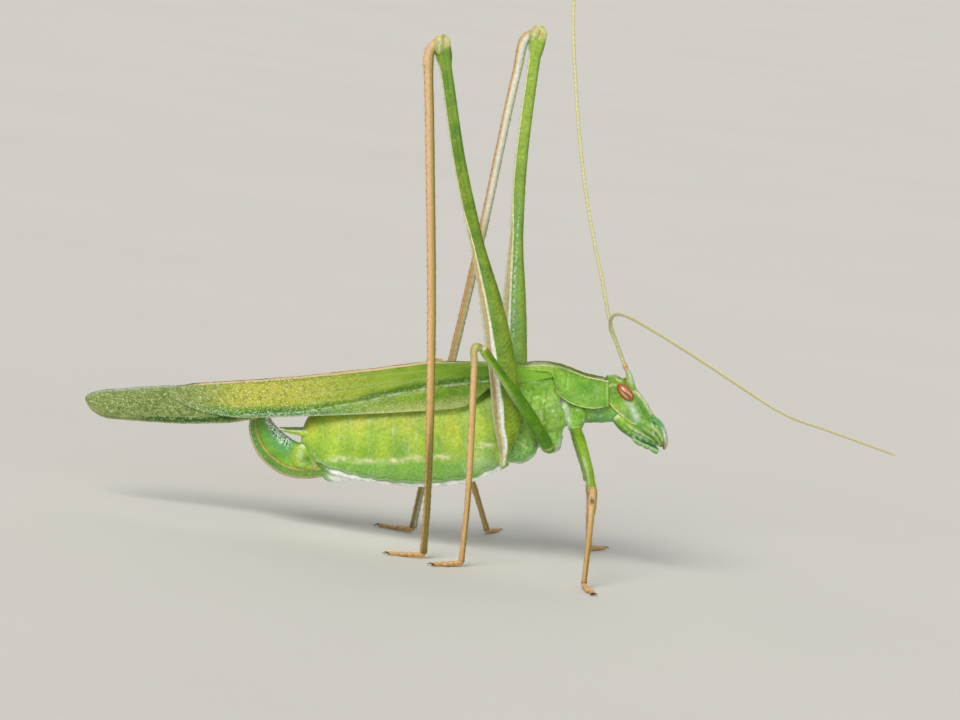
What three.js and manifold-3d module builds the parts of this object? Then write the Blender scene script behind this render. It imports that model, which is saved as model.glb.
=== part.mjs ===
// A long-legged bush-cricket, an adult female of the green form, standing with her hind knees
// high above her back. Millimetres, +X forward, +Y to her left, +Z up, the floor at z = 0.
import * as THREE from "three";
import { mergeVertices } from "three/addons/utils/BufferGeometryUtils.js";
import Module from "manifold-3d";

// ---------------------------------------------------------------- driving dimensions
const bodyPitch = THREE.MathUtils.degToRad(8); // the trunk is carried head up
const bodyHeight = 10.8; // of the trunk's own origin, near the back, above the floor
const gap = 0.03; // thin cut between neighbouring pieces
const sheet = 0.5; // thickness of a wing case in the solids
const hair = 0.26; // half thickness of a feeler in the solids
const shinHalf = 0.25; // half thickness of a shin in the solids
const fineness = 0.02; // how far a cut piece may depart from its curved surface

const green = 0x8fb84e;
const leaf = 0x7da942;
const straw = 0xc5a569;
const cream = 0xd4c39d;

const wasm = await Module();
wasm.setup();

// ---------------------------------------------------------------- helpers
const { lerp, clamp } = THREE.MathUtils;

/** A smooth curve of one value over stations [[x, value], ...] with rising x. */
function profile(stations) {
  const points = stations.map(([x, value]) => new THREE.Vector2(x, value));
  return (x) => {
    const last = points.length - 1;
    if (x <= points[0].x) return points[0].y;
    if (x >= points[last].x) return points[last].y;
    const i = points.findIndex((p) => p.x > x) - 1;
    const t = (x - points[i].x) / (points[i + 1].x - points[i].x);
    return lerp(points[i].y, points[i + 1].y, t * t * (3 - 2 * t) * 0.5 + t * 0.5);
  };
}

/** Shared vertices only, which is what a closed solid needs. */
function weld(geometry) {
  geometry.deleteAttribute("normal");
  geometry.deleteAttribute("uv");
  const welded = mergeVertices(geometry, 1e-5);
  welded.computeVertexNormals();
  return welded;
}

function manifoldOf(geometry) {
  const mesh = new wasm.Mesh({
    numProp: 3,
    vertProperties: new Float32Array(geometry.attributes.position.array),
    triVerts: new Uint32Array(geometry.index.array),
  });
  return new wasm.Manifold(mesh);
}

/** The same solid with every vertex pushed out along its normal. */
function grown(geometry, by) {
  const copy = geometry.clone();
  const { position, normal } = copy.attributes;
  for (let i = 0; i < position.count; i += 1) {
    position.setXYZ(
      i,
      position.getX(i) + normal.getX(i) * by,
      position.getY(i) + normal.getY(i) * by,
      position.getZ(i) + normal.getZ(i) * by,
    );
  }
  return copy;
}

/** The piece with a thin clearance cut around its neighbours; only the main body is kept. */
function clear(geometry, ...neighbours) {
  let solid = manifoldOf(geometry);
  for (const neighbour of neighbours) {
    solid = solid.subtract(manifoldOf(grown(neighbour, gap)));
  }
  const bodies = solid.simplify(fineness).decompose().sort((a, b) => b.volume() - a.volume());
  const { vertProperties, triVerts } = bodies[0].getMesh();
  const result = new THREE.BufferGeometry();
  result.setAttribute("position", new THREE.BufferAttribute(new Float32Array(vertProperties), 3));
  result.setIndex(new THREE.BufferAttribute(new Uint32Array(triVerts), 1));
  return weld(result);
}

/**
 * A cylinder bent along a route. route(t) gives the centre, section(t, c, s) gives the offsets
 * [sideways, upwards] for the direction (c, s) around it, and up is the limb's upper side.
 */
function loft(route, section, rings, sides, up) {
  const geometry = new THREE.CylinderGeometry(1, 1, 1, sides, rings);
  const { position } = geometry.attributes;
  const step = 1e-3;
  for (let i = 0; i < position.count; i += 1) {
    const t = position.getY(i) + 0.5;
    const centre = route(t);
    const ahead = route(Math.min(t + step, 1)).sub(route(Math.max(t - step, 0))).normalize();
    const side = up.clone().cross(ahead).normalize();
    const top = ahead.clone().cross(side);
    const [c, s] = [position.getX(i), -position.getZ(i)];
    const [across, rise] = c === 0 && s === 0 ? section(t, 0, 0) : section(t, c, s);
    centre.addScaledVector(side, across).addScaledVector(top, rise);
    position.setXYZ(i, centre.x, centre.y, centre.z);
  }
  return weld(geometry);
}

const curveThrough = (points) => {
  const curve = new THREE.CatmullRomCurve3(
    points.map((p) => new THREE.Vector3(...p)),
    false,
    "centripetal",
  );
  return (t) => curve.getPointAt(t);
};

/** Rings closer together at both ends, where a limb's shape changes most. */
const bunched = (t) => lerp(t, (1 - Math.cos(Math.PI * t)) / 2, 0.7);

/** A limb through points, with half widths and half depths over its length from 0 to 1. */
function limb(points, halfWide, halfDeep, { rings = 12, sides = 8, up = [1, 0, 0] } = {}) {
  const [wide, deep] = [profile(halfWide), profile(halfDeep)];
  const route = curveThrough(points);
  return loft(
    (t) => route(bunched(t)),
    (t, c, s) => [c * wide(bunched(t)), s * deep(bunched(t))],
    rings,
    sides,
    new THREE.Vector3(...up),
  );
}

/** A superellipse point: round at power 2, boxier above. */
function superellipse(c, s, power) {
  const round = (v) => Math.sign(v) * Math.abs(v) ** (2 / power);
  return [round(c), round(s)];
}

/** A trunk piece along x, from its top, bottom and half width at each x. */
function trunk([rear, front], top, bottom, half, { rings, sides = 24, power = 2.2, egg = 0 }) {
  return loft(
    (t) => new THREE.Vector3(lerp(rear, front, t), 0, 0),
    (t, c, s) => {
      const x = lerp(rear, front, t);
      const [y, z] = superellipse(c, s, power);
      const middle = (top(x) + bottom(x)) / 2;
      return [y * half(x) * (1 - egg * z), middle + (z * (top(x) - bottom(x))) / 2];
    },
    rings,
    sides,
    new THREE.Vector3(0, 0, 1),
  );
}

function ellipsoid([x, y, z], [a, b, c], tilt = 0) {
  const geometry = new THREE.SphereGeometry(1, 12, 8);
  geometry.scale(a, b, c).rotateY(tilt).translate(x, y, z);
  return weld(geometry);
}

const mirrored = (points, side) => points.map(([x, y, z]) => [x, y * side, z]);

const model = new THREE.Group();
const torso = new THREE.Group();
torso.position.z = bodyHeight;
torso.rotation.y = -bodyPitch;
const ground = new THREE.Group();
model.add(torso, ground);

function add(parent, name, geometry, color, roughness = 0.5) {
  const mesh = new THREE.Mesh(
    geometry,
    new THREE.MeshStandardMaterial({ color, roughness, metalness: 0, flatShading: true }),
  );
  mesh.name = name;
  parent.add(mesh);
}

/** A point given in the trunk's frame, as it stands over the floor. */
function overFloor([x, y, z]) {
  const point = new THREE.Vector3(x, y, z).applyAxisAngle(new THREE.Vector3(0, 1, 0), -bodyPitch);
  return [point.x, point.y, point.z + bodyHeight];
}

/** The same turn the other way, for limbs that are shaped over the floor but cut by the trunk. */
function inFloorFrame(geometry) {
  const copy = geometry.clone().rotateY(-bodyPitch).translate(0, 0, bodyHeight);
  return weld(copy);
}

// ---------------------------------------------------------------- wing cases and hind wings
const wingTop = profile([
  [-21.9, -1.9],
  [-16.7, -1.41],
  [-11.1, -1.05],
  [-6.1, -0.54],
  [-2.2, -0.12],
  [3.4, -0.72],
]);

/** One wing as a curved plate: from x = front back to tip, between its upper and lower edges. */
function wing({ front, tip, top, low, outTop, outLow, roof, thick, side, round }) {
  const [long, high] = [18, 4];
  const geometry = new THREE.BoxGeometry(1, 1, 1, long, high, 1);
  const { position } = geometry.attributes;
  for (let i = 0; i < position.count; i += 1) {
    const u = position.getX(i) + 0.5;
    const v = 0.5 - position.getY(i);
    const inner = position.getZ(i) * side > 0;
    const x = lerp(tip, front, 1 - (1 - u) ** 1.15);
    const fromTip = clamp((x - tip) / round, 0, 1);
    const closing = Math.sqrt(1 - (1 - fromTip) ** 2.4) * 0.94 + 0.06;
    const centre = lerp(top(x), low(x), 0.32);
    const upper = lerp(centre, top(x), closing);
    const lower = lerp(centre, low(x), closing);
    const bend = roof(x);
    const across = lerp(v, Math.sin((v * Math.PI) / 2), bend);
    const down = lerp(v, 1 - Math.cos((v * Math.PI) / 2), bend);
    let y = lerp(outTop(x), outLow(x), across);
    let z = lerp(upper, lower, down);
    if (inner) {
      const lean = Math.atan2((outLow(x) - outTop(x)) * lerp(1, 1.6 * (1 - v), bend), upper - lower);
      y -= thick * Math.cos(lean);
      z -= thick * Math.sin(lean);
    }
    position.setXYZ(i, x, Math.max(y, gap / 2) * side, z);
  }
  return weld(geometry);
}

const tegmenLow = profile([
  [-17.2, -2.4],
  [-15.1, -2.86],
  [-13.3, -3.1],
  [-9.1, -2.93],
  [-3.8, -2.65],
  [0.5, -2.45],
  [3.4, -2.0],
]);
const tegmenOutTop = profile([
  [-17.3, 0.34],
  [-6, 0.32],
  [0, 0.4],
  [3.4, 0.75],
]);
const tegmenOutLow = profile([
  [-17.3, 1.1],
  [-12, 1.35],
  [-7, 1.8],
  [-1, 1.88],
  [3.4, 1.55],
]);
const hindwingLow = profile([
  [-21.9, -2.75],
  [-20.7, -3.06],
  [-18.2, -3.39],
  [-16, -3.39],
  [-13.3, -3.15],
]);

const tegmen = (side) =>
  wing({
    front: 3.3,
    tip: -17.3,
    top: wingTop,
    low: tegmenLow,
    outTop: tegmenOutTop,
    outLow: tegmenOutLow,
    roof: profile([
      [-17.3, 0.2],
      [-6, 0.35],
      [0, 0.85],
    ]),
    thick: sheet,
    side,
    round: 2.4,
  });

const hindwing = (side) =>
  wing({
    front: -13.4,
    tip: -21.9,
    top: wingTop,
    low: hindwingLow,
    outTop: () => sheet + gap / 2,
    outLow: () => sheet + gap / 2,
    roof: () => 0,
    thick: sheet,
    side,
    round: 1.7,
  });

const tegmina = [-1, 1].map(tegmen);
["r", "l"].forEach((hand, i) => {
  add(torso, `tegmen_${hand}`, tegmina[i], green);
  add(torso, `hindwing_${hand}`, clear(hindwing(i * 2 - 1), ...tegmina), green);
});

// ---------------------------------------------------------------- pronotum, thorax and abdomen
// The shield is flat above and keeled; behind the notch its lower edge clears the wing roots.
const pronotum = (() => {
  const keel = profile([
    [2.15, -0.3],
    [3.4, -0.2],
    [4.45, -0.33],
    [5.83, -0.83],
    [7.15, -1.12],
  ]);
  const hem = profile([
    [2.15, -0.62],
    [3.95, -0.86],
    [4.35, -1.75],
    [4.85, -2.2],
    [5.6, -2.42],
    [7.15, -2.62],
  ]);
  const disc = profile([
    [2.15, 0.85],
    [2.7, 1.12],
    [4.4, 1.1],
    [7.15, 0.86],
  ]);
  const flare = profile([
    [2.15, 0.12],
    [4.4, 0.3],
    [5.5, 0.42],
    [7.15, 0.36],
  ]);
  const rings = 12;
  return loft(
    (t) => new THREE.Vector3(lerp(2.15, 7.15, t), 0, 0),
    (t, c, s) => {
      const x = lerp(2.15, 7.15, t);
      const [y, z] = superellipse(c, s, 5);
      const level = (z + 1) / 2;
      const half = disc(x) + flare(x) * (1 - level);
      return [y * half, lerp(hem(x), keel(x), level)];
    },
    rings,
    16,
    new THREE.Vector3(0, 0, 1),
  );
})();
add(torso, "pronotum", pronotum, leaf);

const abdomenTop = profile([
  [-10.2, -3.9],
  [-9.7, -3.2],
  [-7.5, -2.1],
  [-2, -1.35],
  [1.6, -1.3],
]);
const abdomenBottom = profile([
  [-10.2, -4.7],
  [-9.4, -5.6],
  [-7.8, -6.75],
  [-3, -7.18],
  [-0.8, -7.06],
  [0.8, -6.5],
  [1.6, -6.0],
]);
const abdomenHalf = profile([
  [-10.2, 0.5],
  [-9.3, 1.05],
  [-7, 1.55],
  [-2, 1.75],
  [1.6, 1.6],
]);
const wholeAbdomen = trunk(
  [-10.2, 1.6],
  abdomenTop,
  abdomenBottom,
  abdomenHalf,
  { rings: 20, sides: 16, power: 2.15, egg: 0.12 },
);
const abdomen = clear(wholeAbdomen, ...tegmina);
add(torso, "abdomen", abdomen, green);

const wholeThorax = trunk(
  [1.1, 7.7],
  profile([
    [1.1, -1.2],
    [3, -0.75],
    [7.7, -1.7],
  ]),
  profile([
    [1.1, -5.6],
    [2.6, -5.65],
    [3.2, -5.05],
    [3.95, -4.95],
    [4.45, -4.45],
    [4.9, -3.7],
    [5.3, -3.55],
    [7.7, -3.5],
  ]),
  profile([
    [1.1, 1.62],
    [4.2, 1.55],
    [5.4, 1.15],
    [7.7, 0.85],
  ]),
  { rings: 15, sides: 12, power: 2.6, egg: 0.05 },
);
const thorax = clear(wholeThorax, pronotum, abdomen, ...tegmina);
add(torso, "thorax", thorax, leaf);

// ---------------------------------------------------------------- ovipositor and cerci
// The blade is a broad sickle, curved up through about a right angle and thin from side to side.
const ovipositor = loft(
  curveThrough([
    [-8.7, 0, -5.3],
    [-10.3, 0, -5.7],
    [-11.4, 0, -5.35],
    [-12.15, 0, -4.5],
    [-12.45, 0, -3.6],
    [-12.5, 0, -2.85],
  ]),
  (() => {
    const deep = profile([
      [0, 0.95],
      [0.3, 0.9],
      [0.6, 0.68],
      [0.85, 0.42],
      [1, 0.12],
    ]);
    const wide = profile([
      [0, 0.6],
      [0.25, 0.42],
      [0.5, 0.27],
      [1, 0.25],
    ]);
    return (t, c, s) => [c * wide(t), s * deep(t)];
  })(),
  14,
  10,
  new THREE.Vector3(0.5, 0, 0.85),
);
const blade = clear(ovipositor, abdomen, ...tegmina);
add(torso, "ovipositor", blade, green);

// The plate under the root of the blade, which closes the abdomen from below.
const plate = limb(
  [
    [-7.4, 0, -6.75],
    [-8.3, 0, -6.55],
    [-9.1, 0, -6.15],
  ],
  [[0, 0.5], [0.5, 0.75], [1, 0.35]],
  [[0, 0.18], [0.5, 0.34], [1, 0.16]],
  { rings: 4, sides: 8, up: [0, 0, 1] },
);
add(torso, "subgenital_plate", clear(plate, abdomen, blade), green);

for (const [hand, side] of [["r", -1], ["l", 1]]) {
  const cercus = limb(
    mirrored([[-9.3, 0.62, -3.95], [-10.3, 0.72, -3.8], [-11.2, 0.66, -3.75]], side),
    [[0, 0.26], [1, 0.18]],
    [[0, 0.26], [1, 0.18]],
    { rings: 6, up: [0, 0, 1] },
  );
  add(torso, `cercus_${hand}`, clear(cercus, abdomen, blade, ...tegmina), green);
}

// ---------------------------------------------------------------- head
// The head hangs from the collar of the shield: crown, face and mouth follow one slanting axis.
const faceSlant = 57.5; // degrees below the horizontal
const faceAxis = new THREE.Vector3(
  Math.cos(THREE.MathUtils.degToRad(faceSlant)),
  0,
  -Math.sin(THREE.MathUtils.degToRad(faceSlant)),
);
const faceOut = new THREE.Vector3(-faceAxis.z, 0, faceAxis.x);
const crown = new THREE.Vector3(7.75, 0, -0.78);

/** A point by its distance down the face, its distance out from the axis and sideways. */
function onFace(down, out, sideways = 0) {
  const point = crown.clone().addScaledVector(faceAxis, down).addScaledVector(faceOut, out);
  return [point.x, sideways, point.z];
}

const faceFront = profile([[-0.1, 0.02], [0.3, 0.34], [1.2, 0.42], [2.3, 0.38], [3.0, 0.42], [3.4, 0.5]]);
const faceBack = profile([[-0.1, -0.5], [0.35, -1.1], [1.3, -1.36], [2.2, -1.3], [3.0, -0.9], [3.4, -0.6]]);
const faceHalf = profile([[-0.1, 0.42], [0.4, 0.95], [1.1, 1.18], [2.2, 1.14], [3.0, 0.86], [3.4, 0.66]]);

const skull = loft(
  (t) => new THREE.Vector3(...onFace(lerp(-0.1, 3.4, t), 0)),
  (t, c, s) => {
    const down = lerp(-0.1, 3.4, t);
    const [y, z] = superellipse(c, s, 2.3);
    const middle = (faceFront(down) + faceBack(down)) / 2;
    return [y * faceHalf(down), middle + (z * (faceFront(down) - faceBack(down))) / 2];
  },
  10,
  14,
  faceOut,
);
const eyes = [-1, 1].map((side) =>
  ellipsoid(onFace(0.95, -0.24, side * 1.13), [0.31, 0.34, 0.6], THREE.MathUtils.degToRad(-35)),
);
const scapes = [-1, 1].map((side) =>
  limb(
    [onFace(0.95, 0.3, side * 0.34), onFace(0.5, 0.5, side * 0.33), [8.03, side * 0.32, -0.25]],
    [[0, 0.24], [0.5, 0.27], [0.85, 0.25], [1, 0.25]],
    [[0, 0.24], [0.5, 0.27], [0.85, 0.25], [1, 0.25]],
    { rings: 6, sides: 10 },
  ),
);
const head = clear(skull, ...eyes, ...scapes, pronotum, thorax);
add(torso, "head", head, leaf);
["r", "l"].forEach((hand, i) => {
  add(torso, `eye_${hand}`, eyes[i], 0xa68552, 0.3);
  add(torso, `scape_${hand}`, scapes[i], cream);
});

const upperLip = limb(
  [onFace(3.4, 0.1), onFace(3.95, 0.1), onFace(4.5, -0.08), onFace(4.92, -0.34)],
  [[0, 0.62], [0.5, 0.56], [0.85, 0.4], [1, 0.2]],
  [[0, 0.36], [0.5, 0.32], [0.85, 0.24], [1, 0.12]],
  { rings: 6, sides: 10, up: faceOut.toArray() },
);
const lip = clear(upperLip, head);
add(torso, "labrum", lip, 0x758b59);

const jaws = limb(
  [onFace(1.9, -1.3), onFace(2.9, -1.15), onFace(3.8, -0.75), onFace(4.7, -0.55)],
  [[0, 0.55], [0.4, 0.85], [0.75, 0.62], [1, 0.3]],
  [[0, 0.3], [0.35, 0.5], [0.75, 0.36], [1, 0.18]],
  { rings: 8, sides: 10, up: faceOut.toArray() },
);
const mouth = clear(jaws, head, lip, thorax, pronotum);
add(torso, "mouthparts", mouth, leaf);

for (const [hand, side] of [["r", -1], ["l", 1]]) {
  const palp = limb(
    [
      onFace(3.1, -1.0, side * 0.85),
      onFace(3.7, -0.95, side * 0.95),
      onFace(4.2, -0.55, side * 0.86),
      onFace(4.75, -0.5, side * 0.72),
    ],
    [[0, 0.12], [0.5, 0.16], [1, 0.17]],
    [[0, 0.12], [0.5, 0.16], [1, 0.17]],
    { rings: 8, sides: 8, up: [1, 0, 0] },
  );
  add(torso, `palp_${hand}`, clear(palp, head, lip, mouth), cream);
}

// ---------------------------------------------------------------- feelers
// The right feeler kinks a little above the head and sweeps out to her right; the left one
// rises with a slow forward curve. Each is thinner than a hair at its tip in life.
const scapeTop = (side) => overFloor([8.03, side * 0.32, -0.25 + gap]);
const feelers = {
  r: [
    scapeTop(-1),
    [7.4, -0.45, 12.75],
    [6.93, -0.7, 13.6],
    [6.85, -1.3, 14.1],
    [6.94, -2.6, 14.55],
    [7.35, -5, 14.92],
    [8.72, -10.5, 14.97],
    [11.76, -20, 14.46],
    [13.7, -26, 14.05],
    [15.55, -31.5, 13.75],
    [17.27, -36, 13.85],
    [20.1, -43.5, 14.03],
  ],
  l: [
    scapeTop(1),
    [6.94, 0.6, 13.69],
    [6.1, 0.7, 16.1],
    [5.34, 0.8, 18.24],
    [4.32, 1.05, 21.5],
    [3.26, 1.6, 26],
    [2.39, 2.4, 31.2],
    [2.5, 3.9, 38],
    [3.6, 5.6, 45.5],
    [6.2, 7.6, 53.5],
    [10.4, 9.8, 61.5],
    [15.6, 11.8, 69],
  ],
};
const feelerParts = 3;
for (const [hand, points] of Object.entries(feelers)) {
  const whole = curveThrough(points);
  for (let k = 0; k < feelerParts; k += 1) {
    const cutHere = k / feelerParts + (k > 0 ? 0.0008 : 0);
    const cutNext = (k + 1) / feelerParts;
    const piece = loft(
      (t) => whole(lerp(cutHere, cutNext, t)),
      (t, c, s) => [c * hair, s * hair],
      k === 0 ? 18 : 11,
      6,
      new THREE.Vector3(1, 0.2, 0.1),
    );
    const root = inFloorFrame(scapes[hand === "r" ? 0 : 1]);
    const crownHere = inFloorFrame(head);
    add(ground, `antenna_${hand}_${k + 1}`, k === 0 ? clear(piece, root, crownHere) : piece, straw);
  }
}

// ---------------------------------------------------------------- legs
// Each leg has a hip block, thigh, shin and foot over the floor; all six feet lie flat on it.
const trunkSolids = [thorax, abdomen, pronotum, head, ...tegmina].map(inFloorFrame);

const hindShape = {
  hipHalf: 0.42,
  wide: [[0, 0.3], [0.05, 0.56], [0.1, 0.74], [0.16, 0.8], [0.29, 0.75], [0.38, 0.64], [0.47, 0.46],
    [0.53, 0.39], [0.93, 0.33], [0.965, 0.47], [0.985, 0.45], [1, 0.25]],
  deep: [[0, 0.25], [0.06, 0.45], [0.16, 0.55], [0.36, 0.46], [0.53, 0.32], [0.9, 0.27], [0.96, 0.33],
    [1, 0.16]],
};
const midShape = {
  hipHalf: 0.36,
  wide: [[0, 0.27], [0.15, 0.36], [0.5, 0.39], [0.85, 0.25], [0.95, 0.32], [1, 0.2]],
  deep: [[0, 0.25], [0.5, 0.3], [0.85, 0.25], [1, 0.2]],
};
const foreShape = {
  hipHalf: 0.4,
  wide: [[0, 0.27], [0.2, 0.32], [0.6, 0.3], [0.9, 0.26], [1, 0.2]],
  deep: [[0, 0.25], [0.5, 0.28], [1, 0.2]],
};

const legs = {
  hind_r: {
    shape: hindShape,
    hip: [[2.1, -1.0, 6.4], [2.05, -1.5, 5.9], [1.98, -1.75, 5.6]],
    thigh: [[1.98, -1.95, 5.6], [2.05, -2.25, 7.4], [1.72, -2.5, 9.04], [1.05, -2.8, 11.6],
      [0.09, -3.1, 14.51], [-1.13, -3.6, 17.73], [-2.65, -4.15, 21.99], [-3.92, -4.72, 26.42],
      [-4.62, -5.05, 28.85]],
    shin: [[-5.18, -5.05, 28.1], [-4.95, -5.1, 26.6], [-4.21, -5.1, 21.84], [-2.95, -5.0, 13.0],
      [-1.8, -4.6, 3.4], [-1.6, -4.5, 0.3]],
    heading: -165,
  },
  hind_l: {
    shape: hindShape,
    hip: [[2.1, 1.0, 6.4], [2.05, 1.5, 5.9], [1.98, 1.75, 5.6]],
    thigh: [[1.98, 1.95, 5.6], [2.12, 2.2, 7.6], [1.95, 2.4, 9.7], [1.42, 2.75, 14.11],
      [1.06, 3.3, 17.41], [0.72, 3.98, 21.84], [0.69, 4.66, 26.5], [0.78, 5.05, 29.45]],
    shin: [[-0.02, 5.05, 28.95], [-0.08, 5.1, 27.4], [-0.5, 5.1, 22.5], [-1.2, 5.0, 14.0],
      [-2.2, 4.6, 3.4], [-2.44, 4.5, 0.3]],
    heading: 165,
  },
  mid_r: {
    shape: midShape,
    hip: [[4.1, -0.9, 7.1], [4.25, -1.3, 6.85], [4.4, -1.6, 6.6]],
    thigh: [[4.45, -1.8, 6.72], [3.83, -2.45, 7.56], [3.16, -3.0, 8.43], [2.36, -3.55, 9.4],
      [1.38, -4.2, 10.52], [-0.16, -4.95, 12.25]],
    shin: [[-0.47, -5.1, 12.0], [-0.33, -5.2, 11.24], [-0.14, -5.25, 9.16], [0.15, -5.35, 6.0],
      [0.53, -5.5, 0.3]],
    heading: -140,
  },
  mid_l: {
    shape: midShape,
    hip: [[4.1, 0.9, 7.1], [4.25, 1.3, 6.85], [4.4, 1.6, 6.6]],
    thigh: [[4.45, 1.8, 6.7], [3.3, 2.75, 7.55], [1.2, 3.6, 8.75], [-0.9, 4.25, 9.55], [-2.2, 4.6, 9.85]],
    shin: [[-2.4, 4.7, 9.8], [-2.2, 5.0, 9.1], [-0.8, 6.0, 6.0], [0.9, 7.4, 2.2], [1.72, 8.0, 0.3]],
    heading: 70,
  },
  fore_r: {
    shape: foreShape,
    hip: [[5.45, -0.6, 8.6], [5.58, -0.95, 8.2], [5.78, -1.2, 7.85]],
    thigh: [[5.85, -1.4, 7.8], [6.1, -1.95, 7.35], [6.45, -2.7, 6.6], [6.82, -3.3, 5.8],
      [7.1, -3.95, 4.9]],
    shin: [[7.14, -4.1, 4.95], [7.18, -4.6, 4.3], [7.25, -5.8, 2.7], [7.3, -7.3, 0.3]],
    heading: -75,
  },
  fore_l: {
    shape: foreShape,
    hip: [[5.4, 0.6, 8.6], [5.5, 0.95, 8.2], [5.6, 1.2, 7.85]],
    thigh: [[5.7, 1.4, 7.8], [6.0, 2.1, 6.95], [6.55, 2.95, 5.6], [7.0, 3.65, 4.45]],
    shin: [[7.08, 3.75, 4.5], [7.2, 4.4, 3.8], [7.4, 5.7, 1.9], [7.62, 6.9, 0.3]],
    heading: 62,
  },
};

const footLength = 2.2;
const soleHalf = 0.26;

/** A foot lying along the floor from the ankle, with its under side cut to one flat. */
function foot([x, y], heading) {
  const turn = THREE.MathUtils.degToRad(heading);
  const along = (part) => [
    x + Math.cos(turn) * footLength * part,
    y + Math.sin(turn) * footLength * part,
    soleHalf - 0.02,
  ];
  const geometry = limb(
    [along(0), along(0.5), along(1)],
    [[0, 0.2], [0.35, 0.25], [0.9, 0.28], [1, 0.12]],
    [[0, soleHalf], [1, soleHalf]],
    { rings: 5, sides: 8, up: [0, 0, 1] },
  );
  const { position } = geometry.attributes;
  for (let i = 0; i < position.count; i += 1) {
    if (position.getZ(i) < soleHalf / 3) position.setZ(i, 0);
  }
  return geometry;
}

for (const [name, { shape, hip, thigh, shin, heading }] of Object.entries(legs)) {
  const { hipHalf, wide, deep } = shape;
  const hipSize = [[0, hipHalf * 0.9], [0.5, hipHalf], [1, hipHalf * 0.72]];
  const shinSize = [[0, 0.22], [0.03, 0.3], [0.09, shinHalf], [1, shinHalf]];
  const coxa = clear(limb(hip, hipSize, hipSize, { rings: 4 }), ...trunkSolids);
  const femur = clear(limb(thigh, deep, wide, { rings: 16 }), coxa, ...trunkSolids);
  const tibia = clear(limb(shin, shinSize, shinSize, { rings: 10, sides: 6 }), femur);
  const tarsus = clear(foot(shin[shin.length - 1], heading), tibia);
  add(ground, `${name}_coxa`, coxa, leaf);
  add(ground, `${name}_femur`, femur, green);
  add(ground, `${name}_tibia`, tibia, straw);
  add(ground, `${name}_tarsus`, tarsus, straw);
}

// The origin is on the floor, under the middle of the whole outline, feelers included.
const middle = new THREE.Box3().setFromObject(model, true).getCenter(new THREE.Vector3());
model.position.set(-middle.x, -middle.y, 0);

export default model;
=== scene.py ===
# %% [markdown]
# # A long-legged bush-cricket
#
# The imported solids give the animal's size, stance and place. This notebook dresses them: every
# solid is replaced by a finer surface in the same place, and every surface gets a material made
# of nodes. The trunk is only 19 mm long, so all shapes are worked out in millimetres and only
# turned into metres when a mesh is made.

# %% Load the frame
import math
from types import SimpleNamespace as Shape

import bpy
import numpy as np
from mathutils import Matrix, Vector


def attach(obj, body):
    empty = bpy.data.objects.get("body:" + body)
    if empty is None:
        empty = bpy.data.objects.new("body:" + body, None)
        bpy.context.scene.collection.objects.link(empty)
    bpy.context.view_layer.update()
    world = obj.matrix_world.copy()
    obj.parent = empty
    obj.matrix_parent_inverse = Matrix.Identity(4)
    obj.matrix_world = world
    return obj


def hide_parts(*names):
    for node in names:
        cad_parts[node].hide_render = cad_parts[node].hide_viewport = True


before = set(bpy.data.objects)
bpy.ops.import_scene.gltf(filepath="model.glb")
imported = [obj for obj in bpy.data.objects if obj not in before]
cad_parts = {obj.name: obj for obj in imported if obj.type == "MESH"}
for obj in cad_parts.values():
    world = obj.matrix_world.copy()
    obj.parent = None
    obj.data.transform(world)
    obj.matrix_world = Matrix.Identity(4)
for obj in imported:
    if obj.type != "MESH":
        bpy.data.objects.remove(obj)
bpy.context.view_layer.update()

# %% [markdown]
# ## Two frames
#
# The trunk is carried head up by 8 degrees. Its parts are easiest to draw along a level axis, so
# they have their own frame, which is tilted and lifted into place at the end. Legs and feelers
# are drawn straight over the floor, because feet have to stand on it.

# %% Frames of the trunk and of the floor
MM = 0.001
PITCH = math.radians(8.0)
COS, SIN = math.cos(PITCH), math.sin(PITCH)
OVER_FLOOR = np.array([0.5216, 15.7816, 0.0])
LIFT = 10.8
RIGHT, LEFT = -1, 1
HANDS = {RIGHT: "right", LEFT: "left"}
TAGS = {RIGHT: "r", LEFT: "l"}


def to_floor(points):
    """From the trunk's frame to the floor's."""
    x, y, z = np.moveaxis(np.asarray(points, float), -1, 0)
    return np.stack([x * COS - z * SIN, y, x * SIN + z * COS + LIFT], -1)


def to_trunk(points):
    """From the floor's frame to the trunk's."""
    x, y, z = np.moveaxis(np.asarray(points, float) - (0, 0, LIFT), -1, 0)
    return np.stack([x * COS + z * SIN, y, -x * SIN + z * COS], -1)


print("the trunk is tilted by", round(math.degrees(PITCH), 1), "degrees and lifted by", LIFT, "mm")

# %% [markdown]
# ## Curves
#
# An insect's outline is a smooth curve through a few known sizes. `stations` gives such a curve
# for one value, and never swings past the sizes it is given. `thread` lays evenly spaced points
# along a curve through points in space, which becomes the middle line of a leg or a feeler.

# %% Smooth values and smooth paths
def stations(*pairs):
    """A smooth curve of one value through (place, value) pairs."""
    xs, ys = np.array(pairs, float).T
    gaps = np.diff(xs)
    slopes = np.diff(ys) / gaps
    inner = np.zeros(len(xs) - 2)
    same = slopes[:-1] * slopes[1:] > 0
    inner[same] = 2 * (slopes[:-1] * slopes[1:])[same] / (slopes[:-1] + slopes[1:])[same]
    lean = np.concatenate([slopes[:1], inner, slopes[-1:]])

    def value(x):
        x = np.clip(x, xs[0], xs[-1])
        i = np.clip(np.searchsorted(xs, x, side="right") - 1, 0, len(gaps) - 1)
        t, gap = (x - xs[i]) / gaps[i], gaps[i]
        return (
            (1 + 2 * t) * (1 - t) ** 2 * ys[i]
            + t * (1 - t) ** 2 * gap * lean[i]
            + t * t * (3 - 2 * t) * ys[i + 1]
            + t * t * (t - 1) * gap * lean[i + 1]
        )

    return value


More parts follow.
